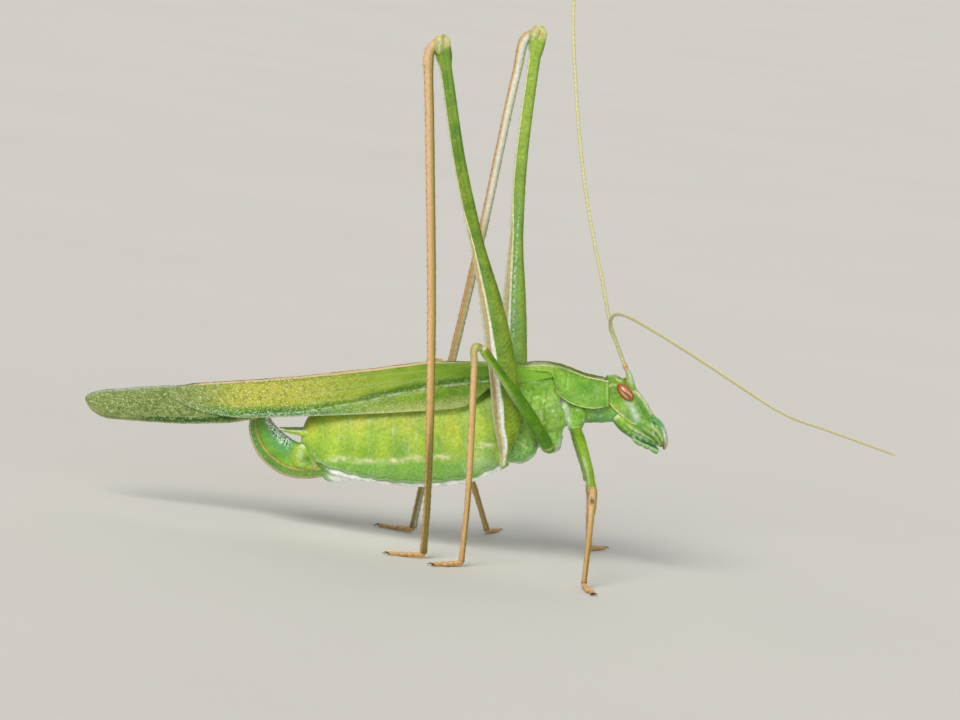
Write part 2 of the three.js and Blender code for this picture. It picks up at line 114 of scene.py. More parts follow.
def thread(points, count, dense=40):
    """Evenly spaced points along a smooth curve through the given ones."""
    p = np.array(points, float)
    p = np.vstack([2 * p[0] - p[1], p, 2 * p[-1] - p[-2]])
    step = np.sqrt(np.linalg.norm(np.diff(p, axis=0), axis=1))
    u = np.linspace(0, 1, dense, endpoint=False)[:, None]
    runs = []
    for i in range(1, len(p) - 2):
        a, b, c = step[i - 1], step[i], step[i + 1]
        lead = (p[i] - p[i - 1]) / a - (p[i + 1] - p[i - 1]) / (a + b) + (p[i + 1] - p[i]) / b
        trail = (p[i + 1] - p[i]) / b - (p[i + 2] - p[i]) / (b + c) + (p[i + 2] - p[i + 1]) / c
        runs.append(
            (1 + 2 * u) * (1 - u) ** 2 * p[i]
            + u * (1 - u) ** 2 * b * lead
            + u * u * (3 - 2 * u) * p[i + 1]
            + u * u * (u - 1) * b * trail
        )
    fine = np.vstack([*runs, p[-2]])
    length = np.concatenate([[0], np.cumsum(np.linalg.norm(np.diff(fine, axis=0), axis=1))])
    even = np.linspace(0, length[-1], count)
    return np.stack([np.interp(even, length, fine[:, k]) for k in range(3)], -1)


print(
    "half way along a step", stations((0, 0), (1, 1))(0.5), "and a path of",
    len(thread([(0, 0, 0), (0, 0, 1)], 5)),
)

# %% [markdown]
# ## Surfaces from rings
#
# Nearly every part of an insect is a tube of hard cuticle: legs, feelers, abdomen, even the head.
# So the basic shape here is a grid of rings along a path. Blender's own primitives would give
# only plain cylinders. A grid lets each ring have its own size, lets a vein or a keel be pushed
# out of the surface, and keeps for each vertex where it lies along (t) and around (c, s).

# %% Rings and closed skins
def unit(v):
    return v / np.maximum(np.linalg.norm(v, axis=-1, keepdims=True), 1e-12)


def round_power(v, power):
    return np.sign(v) * np.abs(v) ** (2 / power)


def length_of(path):
    return np.linalg.norm(np.diff(path, axis=0), axis=1).sum()


def ring_angles(around, power=2.0):
    turn = np.linspace(0, 2 * np.pi, around, endpoint=False)
    return round_power(np.cos(turn), power), round_power(np.sin(turn), power)


def directions(path, up=(1, 0, 0)):
    """Unit vectors ahead, sideways and up for each point of a path."""
    ahead = unit(np.gradient(path, axis=0))
    side = unit(np.cross(np.broadcast_to(np.array(up, float), ahead.shape), ahead))
    return ahead, side, np.cross(ahead, side)


def tube(path, wide, deep, up=(1, 0, 0), around=24, power=2.0):
    """Rings along a path. wide and deep are half sizes, sideways and towards the upper side."""
    _, side, top = directions(path, up)
    c, s = ring_angles(around, power)
    wide, deep = np.broadcast_to(wide, len(path)), np.broadcast_to(deep, len(path))
    across = (wide[:, None] * c)[..., None] * side[:, None]
    rise = (deep[:, None] * s)[..., None] * top[:, None]
    return path[:, None] + across + rise


def outwards(grid):
    """Unit normals of a grid of rings, pointing away from its middle line."""
    along = np.gradient(grid, axis=0)
    round_it = np.roll(grid, -1, 1) - np.roll(grid, 1, 1)
    normal = unit(np.cross(round_it, along))
    away = grid - grid.mean(1, keepdims=True)
    return normal * np.sign(np.sum(normal * away))


def closed(grid, t=None, c=0.0, s=0.0):
    """A closed skin over rings, with its ends capped."""
    rings, around = grid.shape[:2]
    i, j = np.meshgrid(np.arange(rings - 1), np.arange(around), indexing="ij")
    a, b = i * around + j, i * around + (j + 1) % around
    quads = np.stack([a, b, b + around, a + around], -1).reshape(-1, 4).tolist()
    first, last, base = rings * around, rings * around + 1, (rings - 1) * around
    k = np.arange(around)
    near_end = np.stack([k, np.full(around, first), (k + 1) % around], -1).tolist()
    far_end = np.stack([base + k, base + (k + 1) % around, np.full(around, last)], -1).tolist()
    points = np.vstack([grid.reshape(-1, 3), grid[0].mean(0), grid[-1].mean(0)])
    t = np.linspace(0, 1, rings) if t is None else t
    along = np.append(np.repeat(t, around), [t[0], t[-1]])
    spread = [np.append(np.broadcast_to(v, grid.shape[:2]).ravel(), [0, 0]) for v in (c, s)]
    return Shape(points=points, faces=quads + near_end + far_end, t=along, c=spread[0], s=spread[1])


def limb(path, wide, deep, up=(1, 0, 0), around=24, power=2.0):
    """A closed tube that knows where each vertex lies around it."""
    return closed(tube(path, wide, deep, up, around, power), None, *ring_angles(around, power))


def tapered(points, wide, deep, up, count=40, around=24, power=2.0):
    """A closed limb through points, with half sizes given as stations over 0 to 1."""
    t = np.linspace(0, 1, count)
    return limb(thread(points, count), stations(*wide)(t), stations(*deep)(t), up, around, power)


def mirrored(points, side):
    """Points drawn for her left, on the given side."""
    return np.array(points) * (1, side, 1)


def merged(*shapes):
    """Several closed skins as one."""
    faces, start = [], 0
    for shape in shapes:
        faces += [[v + start for v in face] for face in shape.faces]
        start += len(shape.points)
    parts = {k: np.concatenate([getattr(x, k) for x in shapes]) for k in ("points", "t", "c", "s")}
    return Shape(faces=faces, **parts)


print(
    "a power of 2.5 makes a ring's corner", round(ring_angles(8, 2.5)[0][1], 2), "instead of",
    round(ring_angles(8)[0][1], 2),
)

# %% [markdown]
# ## From shape to piece
#
# A piece is a mesh in metres that rides on the animal's one body and stands for the solids it
# replaces. Painted zones, such as a pale keel or a brown seam, are stored on the vertices as
# masks between 0 and 1. The material's nodes read them by name and give them their colours.

# %% One function makes a piece
def signed_volume(points, faces):
    a, b, c = (points[[f[k] for f in faces]] for k in (0, 1, 2))
    total = np.sum(a * np.cross(b, c))
    quads = [f for f in faces if len(f) == 4]
    if quads:
        a, b, c = (points[[f[k] for f in quads]] for k in (0, 2, 3))
        total += np.sum(a * np.cross(b, c))
    return total


def put(name, data):
    """An object in the scene that shows the given mesh, lamp or camera."""
    made = bpy.data.objects.new(name, data)
    bpy.context.scene.collection.objects.link(made)
    return made


def piece(name, shape, material, nodes=(), masks=None, in_trunk=True):
    """Makes the mesh object of one part, painted, placed and riding on the body."""
    faces = shape.faces
    if signed_volume(shape.points, faces) < 0:
        faces = [f[::-1] for f in faces]
    placed = to_floor(shape.points) if in_trunk else shape.points
    mesh = bpy.data.meshes.new(name)
    mesh.from_pydata(((placed + OVER_FLOOR) * MM).tolist(), [], faces)
    for key, values in (masks or {}).items():
        layer = mesh.attributes.new(key, "FLOAT", "POINT")
        layer.data.foreach_set("value", np.clip(values, 0, 1).astype(np.float32))
    mesh.polygons.foreach_set("use_smooth", [True] * len(mesh.polygons))
    mesh.materials.append(material)
    made = put(name, mesh)
    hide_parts(*nodes)
    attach(made, "root")
    return made


def fused(shapes, voxel, smoothing):
    """Melts overlapping closed shapes into one skin. The voxel size is in the shapes' own unit."""
    whole = merged(*shapes)
    mesh = bpy.data.meshes.new("melting")
    mesh.from_pydata(whole.points.tolist(), [], whole.faces)
    blank = put("melting", mesh)
    remesh = blank.modifiers.new("one_skin", "REMESH")
    remesh.mode, remesh.voxel_size = "VOXEL", voxel
    relax = blank.modifiers.new("relax", "SMOOTH")
    relax.factor, relax.iterations = 0.5, smoothing
    evaluated = blank.evaluated_get(bpy.context.evaluated_depsgraph_get())
    skin = bpy.data.meshes.new_from_object(evaluated)
    points = np.zeros(len(skin.vertices) * 3)
    normals = np.zeros(len(skin.vertices) * 3)
    skin.vertices.foreach_get("co", points)
    skin.vertex_normals.foreach_get("vector", normals)
    faces = [list(p.vertices) for p in skin.polygons]
    bpy.data.objects.remove(blank)
    bpy.data.meshes.remove(skin)
    zero = np.zeros(len(points) // 3)
    return (
        Shape(points=points.reshape(-1, 3), faces=faces, t=zero, c=zero, s=zero),
        normals.reshape(-1, 3),
    )


print("pieces are placed over the point", OVER_FLOOR.tolist(), "mm")

# %% [markdown]
# ## Materials
#
# All of the animal is cuticle: chitin, a horny, slightly translucent skin whose refractive index
# is about 1.56. Living green cuticle looks waxy, because light enters it, scatters in the green
# tissue below and comes out again, which is subsurface scattering. It is never one colour: tiny
# dark pits lie in it every quarter of a millimetre and the green drifts over millimetres.

# %% Colours and nodes
CHITIN_IOR = 1.56


def hue(code):
    """sRGB hex to linear colour."""
    channels = [int(code[i : i + 2], 16) / 255 for i in (1, 3, 5)]
    linear = [v / 12.92 if v <= 0.04045 else ((v + 0.055) / 1.055) ** 2.4 for v in channels]
    return (*linear, 1.0)


def node(tree, kind, settings=None, links=None):
    """Adds one node; settings are its properties or inputs, links are inputs fed by outputs."""
    made = tree.nodes.new("ShaderNode" + kind)
    for key, value in (settings or {}).items():
        if isinstance(key, str) and hasattr(made, key):
            setattr(made, key, value)
        else:
            made.inputs[key].default_value = value
    for key, source in (links or {}).items():
        tree.links.new(made.inputs[key], source)
    return made


def blank_material(name):
    """A material without nodes, its tree, and the socket that gives each point's own place."""
    material = bpy.data.materials.new(name)
    material.use_nodes = True
    tree = material.node_tree
    tree.nodes.clear()
    return material, tree, node(tree, "TexCoord").outputs["Object"]


def noise(tree, place, size, detail, output="Fac"):
    """Noise with swells of the given size in mm."""
    made = node(tree, "TexNoise", {"Scale": 1 / (size * MM), "Detail": detail}, {"Vector": place})
    return made.outputs[output]


def remap(tree, value, low, high, first=0.0, last=1.0):
    """Turns the range from low to high into the one from first to last."""
    return node(tree, "MapRange", {1: low, 2: high, 3: first, 4: last}, {"Value": value}).outputs[0]


def times(tree, first, second):
    return node(tree, "Math", {"operation": "MULTIPLY"}, {0: first, 1: second}).outputs[0]


def blend(tree, factor, first, second, mode="MIX"):
    """One colour laid over another; factor, first and second are sockets or constants."""
    settings, links = {"data_type": "RGBA", "blend_type": mode}, {}
    for place, value in ((0, factor), (6, first), (7, second)):
        (links if isinstance(value, bpy.types.NodeSocket) else settings)[place] = value
    return node(tree, "Mix", settings, links).outputs[2]


def attribute(tree, mask):
    return node(tree, "Attribute", {"attribute_name": mask}).outputs["Fac"]


def painted(tree, colour, zones):
    """Lays each named mask's colour over what is below it."""
    for mask, code in zones.items():
        colour = blend(tree, attribute(tree, mask), colour, hue(code))
    return colour


def drifting(tree, value, dark, light):
    """A slow change between two colours, steered by a noise."""
    return blend(tree, remap(tree, value, 0.35, 0.65), hue(dark), hue(light))


def finished(tree, colour, bumps, settings):
    """The shader of hard cuticle, over bump layers that are each a height and a rise in mm."""
    normal = {}
    for height, rise in bumps:
        bump = node(tree, "Bump", {"Distance": rise * MM}, {"Height": height, **normal})
        normal = {"Normal": bump.outputs["Normal"]}
    settings = {"IOR": CHITIN_IOR, **settings}
    shader = node(tree, "BsdfPrincipled", settings, {"Base Color": colour, **normal})
    node(tree, "OutputMaterial", links={"Surface": shader.outputs[0]})


print("chitin bends light by", CHITIN_IOR, "and mid grey is", round(hue("#808080")[0], 3))

# %% [markdown]
# The green cuticle is used for the trunk, head, thighs and egg blade. A broad noise drifts
# between two greens, the painted zones lie over it, and Voronoi cells 0.25 mm apart put the dark
# pits in. Where the mask `netted` is set, the seams between wavy cells of 0.22 mm show as a broken
# pale net, as on the side plates of the thorax. Bump layers give the net its height, the leathery
# wrinkles (0.12 mm) and the fine shagreen (0.03 mm) that breaks up the highlights.

# %% Green cuticle
ZONES = {
    "lime": "#c2dc4c",
    "yellow": "#ded848",
    "fresh": "#84d055",
    "teal": "#5fa763",
    "deep": "#2f5c10",
    "frost": "#dcebe0",
    "white": "#fafffa",
    "cream": "#e9e8a0",
    "pink": "#d9b79a",
    "brown": "#a5643c",
}
GREEN_GLOW = {
    "Subsurface Weight": 0.25, "Subsurface Radius": (0.5, 1.0, 0.25), "Subsurface Scale": 0.25 * MM,
}


def green_cuticle(name, light, dark, roughness=0.36, shine=0.32):
    material, tree, place = blank_material(name)
    colour = painted(tree, drifting(tree, noise(tree, place, 1.1, 4.0), dark, light), ZONES)
    fleck = remap(tree, noise(tree, place, 0.16, 3.0), 0.3, 0.75, 0.77, 1.28)
    colour = blend(tree, 0.8, colour, fleck, "MULTIPLY")
    cells = node(tree, "TexVoronoi", {"Scale": 1 / (0.25 * MM), "Randomness": 0.9}, {"Vector": place})
    pit = remap(tree, cells.outputs["Distance"], 0.06, 0.2, 0.45, 0.0)
    colour = blend(tree, pit, colour, hue("#3a5a1c"))
    folds, sway = noise(tree, place, 0.12, 5.0), noise(tree, place, 0.3, 4.0, "Color")
    push = node(tree, "VectorMath", {"operation": "SCALE", "Scale": 0.45 * MM}, {0: sway})
    wavy = node(tree, "VectorMath", {"operation": "ADD"}, {0: place, 1: push.outputs[0]}).outputs[0]
    edges = {"feature": "DISTANCE_TO_EDGE", "Scale": 1 / (0.22 * MM)}
    seams = node(tree, "TexVoronoi", edges, {"Vector": wavy}).outputs["Distance"]
    broken_seam = times(tree, remap(tree, seams, 0.0, 0.16, 0.6, 0.0), remap(tree, folds, 0.42, 0.6))
    net = times(tree, broken_seam, attribute(tree, "netted"))
    colour = blend(tree, net, colour, hue("#cfe29a"))
    bumps = ((folds, 0.012), (noise(tree, place, 0.03, 2.0), 0.0025), (net, 0.02))
    gloss = {
        "Roughness": roughness, "Specular IOR Level": shine, "Coat Weight": 0.06, "Coat Roughness": 0.3,
    }
    finished(tree, colour, bumps, {**gloss, **GREEN_GLOW})
    return material


leaf_green = green_cuticle("leaf_green_cuticle", "#82b936", "#629e24")
print("material", leaf_green.name)

# %% [markdown]
# ## The trunk in one skin
#
# The abdomen, the two wing-bearing rings of the thorax, the neck and the six hips meet without
# any real gap: soft membrane joins the hard plates. Separate lofts would show a hard line at each
# join, so they are drawn as overlapping closed shapes and melted together by a voxel remesh.
# The plates come after: grooves are pressed into the one skin along drawn lines.

# %% Abdomen, thorax, neck and hips
def along_x(rear, front, top, bottom, half, rings, around, power, egg=0.0):
    """A loft along the trunk's axis from its top, bottom and half width at each x."""
    x = np.linspace(rear, front, rings)[:, None]
    y, z = ring_angles(around, power)
    high, low = top(x), bottom(x)
    points = np.stack(
        np.broadcast_arrays(x, y * half(x) * (1 - egg * z), (high + low) / 2 + z * (high - low) / 2),
        -1,
    )
    return closed(points)


abdomen = along_x(
    -9.9,
    1.6,
    stations((-9.9, -4.05), (-9.65, -3.45), (-9.3, -3.0), (-7.5, -2.1), (-2, -1.35), (1.6, -1.3)),
    stations(
        (-9.9, -4.6), (-9.4, -5.65), (-8.4, -6.4), (-7, -6.68), (-5.1, -6.97), (-3, -7.1), (-1.76, -7.03),
        (-0.36, -6.76), (1.3, -6.05), (1.6, -5.9)
    ),
    stations((-9.9, 0.45), (-9.3, 0.95), (-7, 1.55), (-2, 1.75), (1.6, 1.6)),
    90,
    64,
    2.15,
    0.12,
)
thorax = along_x(
    1.1,
    7.7,
    stations((1.1, -1.2), (3, -0.75), (7.7, -1.7)),
    stations((1.1, -5.3), (2.6, -5.2), (3.3, -4.8), (4.3, -4.1), (4.9, -3.6), (5.4, -3.5), (7.7, -3.45)),
    stations((1.1, 1.6), (3.2, 1.58), (4.2, 1.5), (5.0, 1.16), (5.4, 1.05), (7.7, 0.82)),
    60,
    56,
    2.5,
    0.2,
)


def blob(at, size, tilt=0.0, around=28):
    """An egg shape with its long axis near vertical, tilted in side view."""
    turn = np.linspace(0, np.pi, 24)
    path = np.stack([np.zeros(24), np.zeros(24), -np.cos(turn) * size[2]], -1)
    path = path[1:-1]
    grid = tube(path, np.sin(turn[1:-1]) * size[1], np.sin(turn[1:-1]) * size[0], around=around)
    x, y, z = np.moveaxis(grid, -1, 0)
    c, s = math.cos(tilt), math.sin(tilt)
    return closed(np.stack([x * c + z * s, y, -x * s + z * c], -1) + np.array(at))


hips = []
for side in (RIGHT, LEFT):
    hips += [
        blob((2.15, 1.0 * side, -4.55), (1.08, 0.72, 1.1), 0.25),
        blob((2.2, 1.12 * side, -3.0), (1.0, 0.62, 1.6), 0.1),
        blob((3.95, 1.02 * side, -4.1), (0.62, 0.6, 1.0), -0.15),
        blob((3.9, 1.15 * side, -2.9), (0.85, 0.58, 1.5), 0.0),
        blob((5.42, 0.88 * side, -2.95), (0.5, 0.42, 1.0), 0.12),
        blob((3.3, 0.98 * side, -1.48), (1.65, 0.41, 0.85), 0.05),
    ]
    for path, half in (
        (((2.1, 1.0, 6.4), (2.05, 1.5, 5.9), (1.98, 1.8, 5.6)), (0.42, 0.34)),
        (((4.1, 0.9, 7.1), (4.25, 1.3, 6.85), (4.4, 1.68, 6.6)), (0.36, 0.3)),
        (((5.45, 0.6, 8.6), (5.58, 0.95, 8.2), (5.78, 1.25, 7.85)), (0.4, 0.34)),
    ):
        middle = to_trunk(thread(mirrored(path, side), 10))
        hips.append(closed(tube(middle, *[np.linspace(*half, 10)] * 2)))
neck = closed(tube(thread([(6.9, 0, -2.3), (7.6, 0, -2.55), (8.4, 0, -3.0)], 16), 0.72, 0.85, (0, 0, 1)))
plate = tapered(
    [(-7.2, 0, -6.55), (-8.3, 0, -6.5), (-9.15, 0, -6.1)],
    [(0, 0.5), (0.5, 0.72), (1, 0.2)],
    [(0, 0.2), (0.5, 0.32), (1, 0.1)],
    (0, 0, 1),
    16,
)
skin, skin_normals = fused([abdomen, thorax, neck, plate, *hips], 0.068, 3)
print("trunk skin", len(skin.faces), "faces")

# %% [markdown]
# ## Soft masks
#
# Colour zones and low relief on an animal have soft edges. They are therefore worked out for every
# vertex as numbers between 0 and 1, from simple shapes drawn in side view: a step, a peak, a spot
# and a line. Products and maxima combine them. A seeded sum of waves makes them uneven.

# %% Steps, peaks, spots, lines and ripples
def step(v, low, high):
    """0 below low, 1 above high, smooth between."""
    t = np.clip((v - low) / (high - low), 0, 1)
    return t * t * (3 - 2 * t)


def fade(v, low, high):
    """1 below low, 0 above high."""
    return 1 - step(v, low, high)


def peak(value, width):
    """1 where the value is 0, and falling off on both sides."""
    return np.exp(-((value / width) ** 2))


def strongest(*masks):
    return np.maximum.reduce(masks)


def spot(x, z, at, size):
    return np.exp(-(((x - at[0]) / size[0]) ** 2) - ((z - at[1]) / size[1]) ** 2)


def near(x, z, line, width):
    """1 on a drawn line and 0 away from it, with a soft edge of the given half width."""
    best = np.full(np.shape(x), np.inf)
    for (x0, z0), (x1, z1) in zip(line, line[1:]):
        dx, dz = x1 - x0, z1 - z0
        u = np.clip(((x - x0) * dx + (z - z0) * dz) / (dx * dx + dz * dz), 0, 1)
        best = np.minimum(best, (x - x0 - u * dx) ** 2 + (z - z0 - u * dz) ** 2)
    return np.exp(-best / width**2)


def ripples(points, size, seed, waves=14):
    """A soft seeded unevenness between -1 and 1 with bumps of about the given size."""
    rng = np.random.default_rng(seed)
    push = unit(rng.normal(size=(waves, 3))) * rng.uniform(0.6, 1.5, (waves, 1)) * math.pi / size
    phase = rng.uniform(0, 2 * np.pi, waves)
    return np.sin(points @ push.T + phase).sum(-1) / math.sqrt(waves)


print("half way up a step", step(0.5, 0, 1), "and on a peak's flank", round(peak(1, 1), 2))

# %% [markdown]
# Each ring of the abdomen is a back plate that overlaps the next one like a roof tile: it swells
# towards its hind margin and drops there. The side margin of these plates is a wavy edge, and
# the pale soft belly shows below it. On the thorax, sutures mark the side plates, and a breathing
# hole, which also leads sound to the ears in the shins, opens below the shield.

# %% Plates and sutures of the trunk
RING_ENDS = (-8.75, -7.45, -6.18, -4.85, -3.52, -2.19, -0.81, 0.5)
RING_AT, RING_LONG = -0.81, 1.33
PLATE_EDGE = stations(
    (-9.6, -5.45), (-7.7, -6.12), (-6.65, -6.38), (-5.7, -6.58), (-4.4, -6.75), (-3.1, -6.78),
    (-1.75, -6.64), (-0.35, -6.42), (0.42, -6.08), (1.3, -5.7)
)
SUTURES = (
    ((4.17, -1.5), (4.45, -2.1), (4.76, -2.75), (4.78, -3.27), (4.71, -3.77), (4.34, -4.56), (3.95, -5.1)),
    ((3.72, -1.4), (3.55, -2.4), (3.48, -3.3), (3.7, -4.0)),
    ((2.95, -1.5), (2.8, -3.0), (2.98, -3.9), (3.24, -4.7)),
    ((1.65, -1.6), (1.85, -2.8), (2.15, -3.7), (2.3, -4.1)),
    ((5.15, -2.4), (5.2, -3.0), (5.3, -3.6)),
)
COXA_RIM = ((1.25, -5.3), (1.68, -5.58), (2.24, -5.55), (2.68, -5.36), (3.07, -5.1), (3.29, -4.7))
HIP_RIM = ((3.3, -4.55), (3.45, -4.85), (3.7, -5.08), (3.95, -5.02), (4.08, -4.8))
SPIRACLE = (4.62, -2.22)

x, y, z = skin.points.T
flank = step(np.abs(y), 0.5, 0.9)
on_abdomen = step(-x, -1.35, -1.0)
edge = PLATE_EDGE(x) + 0.035 * np.sin(x * 7.0)
above_edge = step(z, edge - 0.05, edge + 0.03)
bowed = x - 0.12 * np.cos((z + 4.0) * 1.1) + 0.06 * ripples(skin.points, 0.6, 5)
relief = np.zeros(len(x))
for start, end in zip(RING_ENDS, RING_ENDS[1:]):
    tile = np.clip((bowed - start) / (end - start), 0, 1)
    inside = (bowed > start) & (bowed <= end)
    relief += np.where(inside, 0.035 * (1 - tile) ** 1.5 * step(tile, 0.0, 0.12), 0) * above_edge
    relief -= 0.012 * peak(bowed - start, 0.05) * above_edge * on_abdomen
relief += 0.05 * above_edge * on_abdomen - 0.05 * near(x, z, [(-9.6, -5.5), (-9.5, -5.5)], 0.01)
relief -= 0.06 * peak(z - edge, 0.05) * on_abdomen * flank
fold_edge = edge + 0.22 + 0.05 * np.sin(x * 4.7 + 1.0)
relief -= 0.02 * peak(z - fold_edge, 0.03) * on_abdomen * flank
on_sternite = on_abdomen * (1 - above_edge)
relief += 0.02 * np.abs(np.sin((x - RING_AT) * np.pi / RING_LONG)) * on_sternite
for line in SUTURES:
    relief -= 0.045 * near(x, z, line, 0.055) * flank
relief += 0.05 * near(x + 0.09, z, SUTURES[0], 0.07) * flank
relief -= 0.3 * spot(x, z, SPIRACLE, (0.09, 0.22)) * flank
relief += 0.03 * near(x, z, COXA_RIM, 0.07) + 0.04 * near(x, z, HIP_RIM, 0.07) * flank
relief += 0.16 * peak(z - edge + 0.17, 0.13) * on_abdomen * flank * step(x, -8.8, -8.0)
on_thorax = step(x, 1.0, 1.4)
wing_root = step(x, 1.4, 2.2) * fade(x, 4.2, 4.5) * step(z, -2.25, -1.5) * flank
root_lines = (
    wing_root * (0.5 + 0.5 * np.cos((z + 0.12 * (x - 3) ** 2 + 0.02 * ripples(skin.points, 0.8, 14))
        * 2 * np.pi / 0.13))
)
hair_lines = (
    step(ripples(skin.points * (1, 0.3, 0.22), 0.11, 15), 0.3, 1.3) * on_thorax
    * step(5.2 - x, 0.0, 0.4) * (1 - wing_root)
)
relief += 0.012 * root_lines
relief += 0.012 * ripples(skin.points, 0.5, 1) + (0.006 + 0.012 * on_thorax) * ripples(skin.points, 0.22, 2)
skin.points = skin.points + skin_normals * relief[:, None]
print("relief of the trunk from", relief.min().round(2), "to", relief.max().round(2), "mm")

# %% [markdown]
# The abdomen is green with a lime middle on every plate, paler streaks along its ring seams and
# cream spots above the plates' margins. The belly is whitish, the throat bluish, and a fine pale
# net covers the side plates of the thorax. Each zone is a mask, and the strongest shape wins.

# %% Colour zones of the trunk
patchy = 0.5 + 0.5 * ripples(skin.points, 1.1, 3)
pale_spots = sum(
    spot(x, z + 0.06 * (x - at[0]) ** 2, at, (0.5, 0.15)) * (0.8 + 0.4 * ripples(skin.points, 0.2, 4))
    for at in ((-7.75, -5.35), (-6.25, -5.45), (-4.8, -5.42), (-3.6, -5.28), (-2.1, -5.18), (0.3, -4.55))
)
ring_lines = sum(peak(bowed - end, 0.08) for end in RING_ENDS) * on_abdomen
streaks = step(ripples(skin.points * (1, 0.25, 0.25), 0.13, 6), 0.5, 1.5)
ring_lines = ring_lines * (0.25 + 0.75 * streaks)
mid_ring = 0.5 - 0.5 * np.cos((bowed - RING_AT) * 2 * np.pi / RING_LONG)
on_throat = step(x, 5.9, 6.6) * step(-z, 2.6, 3.1)
trunk_masks = {
    "lime": on_abdomen * above_edge
    * (0.34 + 0.16 * step(z, -5.4, -4.0) + 0.35 * (patchy - 0.5) + 0.2 * mid_ring)
    # the spot below the wing root is partly its fresher green and partly painted light that lifts the
    # shadow under the wing root
    + (0.12 + 0.2 * spot(x, z, (2.9, -1.9), (1.3, 0.5))) * on_thorax * (1 - on_throat)
    * step(z, -4.6, -3.6) * fade(x, 4.9, 5.2),
    "yellow": 0.45 * on_abdomen * (0.35 + 0.65 * mid_ring) * spot(x * 0, z, (0, -3.3), (1, 0.85))
    * (0.2 + patchy) * above_edge,
    "fresh": 0.55 * on_abdomen * step(-z, 5.2, 5.7) * above_edge * (0.6 + 0.4 * patchy)
    # partly fresher green, partly painted light against the shadow under the wing root
    + 0.3 * on_thorax * spot(x, z, (2.6, -1.9), (1.3, 0.7)) * flank,
    "white": on_sternite * step(x, -8.6, -8.0) * (0.92 + 0.08 * ripples(skin.points, 0.4, 9)),
    "teal": strongest(
        0.55 * on_throat,
        0.35 * step(-z, 4.2, 5.0) * (1 - on_abdomen),
        0.2 * on_abdomen * step(-z, 5.2, 5.9) * above_edge * (0.4 + patchy),
        0.5 * spot(x, z, (-4.1, -4.7), (0.35, 0.7)) * flank,
    ),
    "frost": strongest(
        0.3 * on_sternite * step(x, -9.0, -8.4),
        0.55 * on_throat * spot(x, z, (6.1, -2.85), (0.45, 0.16))
        * step(ripples(skin.points, 0.2, 10), -0.3, 0.8),
        0.85 * near(x, z, SUTURES[0][1:], 0.07) * flank,
        0.6 * near(x - 0.16, z, SUTURES[0][1:], 0.1) * flank,
        0.55 * pale_spots * flank,
        0.3 * np.clip(ring_lines, 0, 1) * above_edge * step(z, -5.8, -4.8),
        0.3 * streaks * step(ripples(skin.points, 0.7, 7), -0.1, 1.0) * on_abdomen * above_edge,
        0.17 * hair_lines,
        0.03 * patchy * on_abdomen * step(-z, 4.9, 5.7) * above_edge,
        0.3 * spot(x, z, (0.15, -5.6), (0.95, 0.75)) * flank * on_abdomen * above_edge
        * (0.6 + 0.4 * patchy),
        0.35 * on_abdomen * flank * peak(z - edge - 0.13, 0.05) * step(-x, -0.5, 3.0),
        0.3 * step(ripples(skin.points, 0.18, 17), 0.7, 1.6) * on_thorax * (1 - wing_root),
        spot(x, z, (4.05, -2.64), (0.06, 0.06)) * flank,
        0.65 * near(x, z, COXA_RIM, 0.05),
        0.6 * near(x, z, HIP_RIM, 0.06) * flank,
    ),
    "deep": strongest(
        # the next two lines are painted shade in the grooves at the plates' margin and at the fold above it
        0.95 * peak(z - edge - 0.02, 0.045) * on_abdomen * flank * step(x, -8.8, -8.3),
        0.5 * peak(z - fold_edge, 0.03) * on_abdomen * flank * step(x, -7.5, -6.5),
        # the breathing hole's dark is painted shade in the recess
        spot(x, z, SPIRACLE, (0.1, 0.22)) * flank,
        0.35 * near(x, z, SUTURES[1], 0.04) * flank,
        0.45 * near(x, z, SUTURES[2], 0.04) * flank,
        0.18 * (wing_root - root_lines),
        # painted shadow of the wing cases on the upper abdomen
        0.17 * on_abdomen * step(z, -4.3, -3.4) * fade(x, -3.6, -2.4),
    ),
    "cream": strongest(
        0.28 * near(x, z, ((3.6, -2.0), (3.35, -2.7), (3.45, -3.4)), 0.05) * flank,
        0.85 * pale_spots * flank,
        0.5 * near(x, z, ((1.75, -3.9), (1.95, -4.3), (2.3, -4.45), (2.6, -4.75)), 0.05) * flank,
        0.6 * near(x, z, HIP_RIM, 0.05) * flank,
    ),
    "brown": 0.8 * spot(x, z, (2.55, -5.42), (0.12, 0.05)) + 0.3 * spot(x, z, (4.28, -4.8), (0.07, 0.07)),
    "netted": on_thorax * (0.75 + 0.25 * ripples(skin.points, 1.0, 8)) * (1 - 0.6 * on_throat)
    * (1 - 0.8 * wing_root)
    + 0.15 * on_abdomen,
}
piece(
    "body_skin",
    skin,
    leaf_green,
    ["abdomen", "thorax", "subgenital_plate"]
    + [f"{leg}_{tag}_coxa" for leg in ("hind", "mid", "fore") for tag in "rl"],
    trunk_masks,
)
print("body_skin painted with", sorted(trunk_masks))

# %% [markdown]
# ## Thin plates
#
# The shield over the thorax and the four wings are thin bent plates. Each is drawn as one outer
# sheet, a grid of rows and columns, and gets an inner sheet a few hundredths of a millimetre
# below it and a rim. The real plates thin out towards their edges, and so do these.

# %% Sheets with a thickness
def sheet_normals(sheet, middle):
    """Unit normals of an open grid, pointing away from a point inside the bend."""
    normal = unit(np.cross(np.gradient(sheet, axis=0), np.gradient(sheet, axis=1)))
    return normal * np.sign(np.sum(normal * (sheet - np.array(middle))))


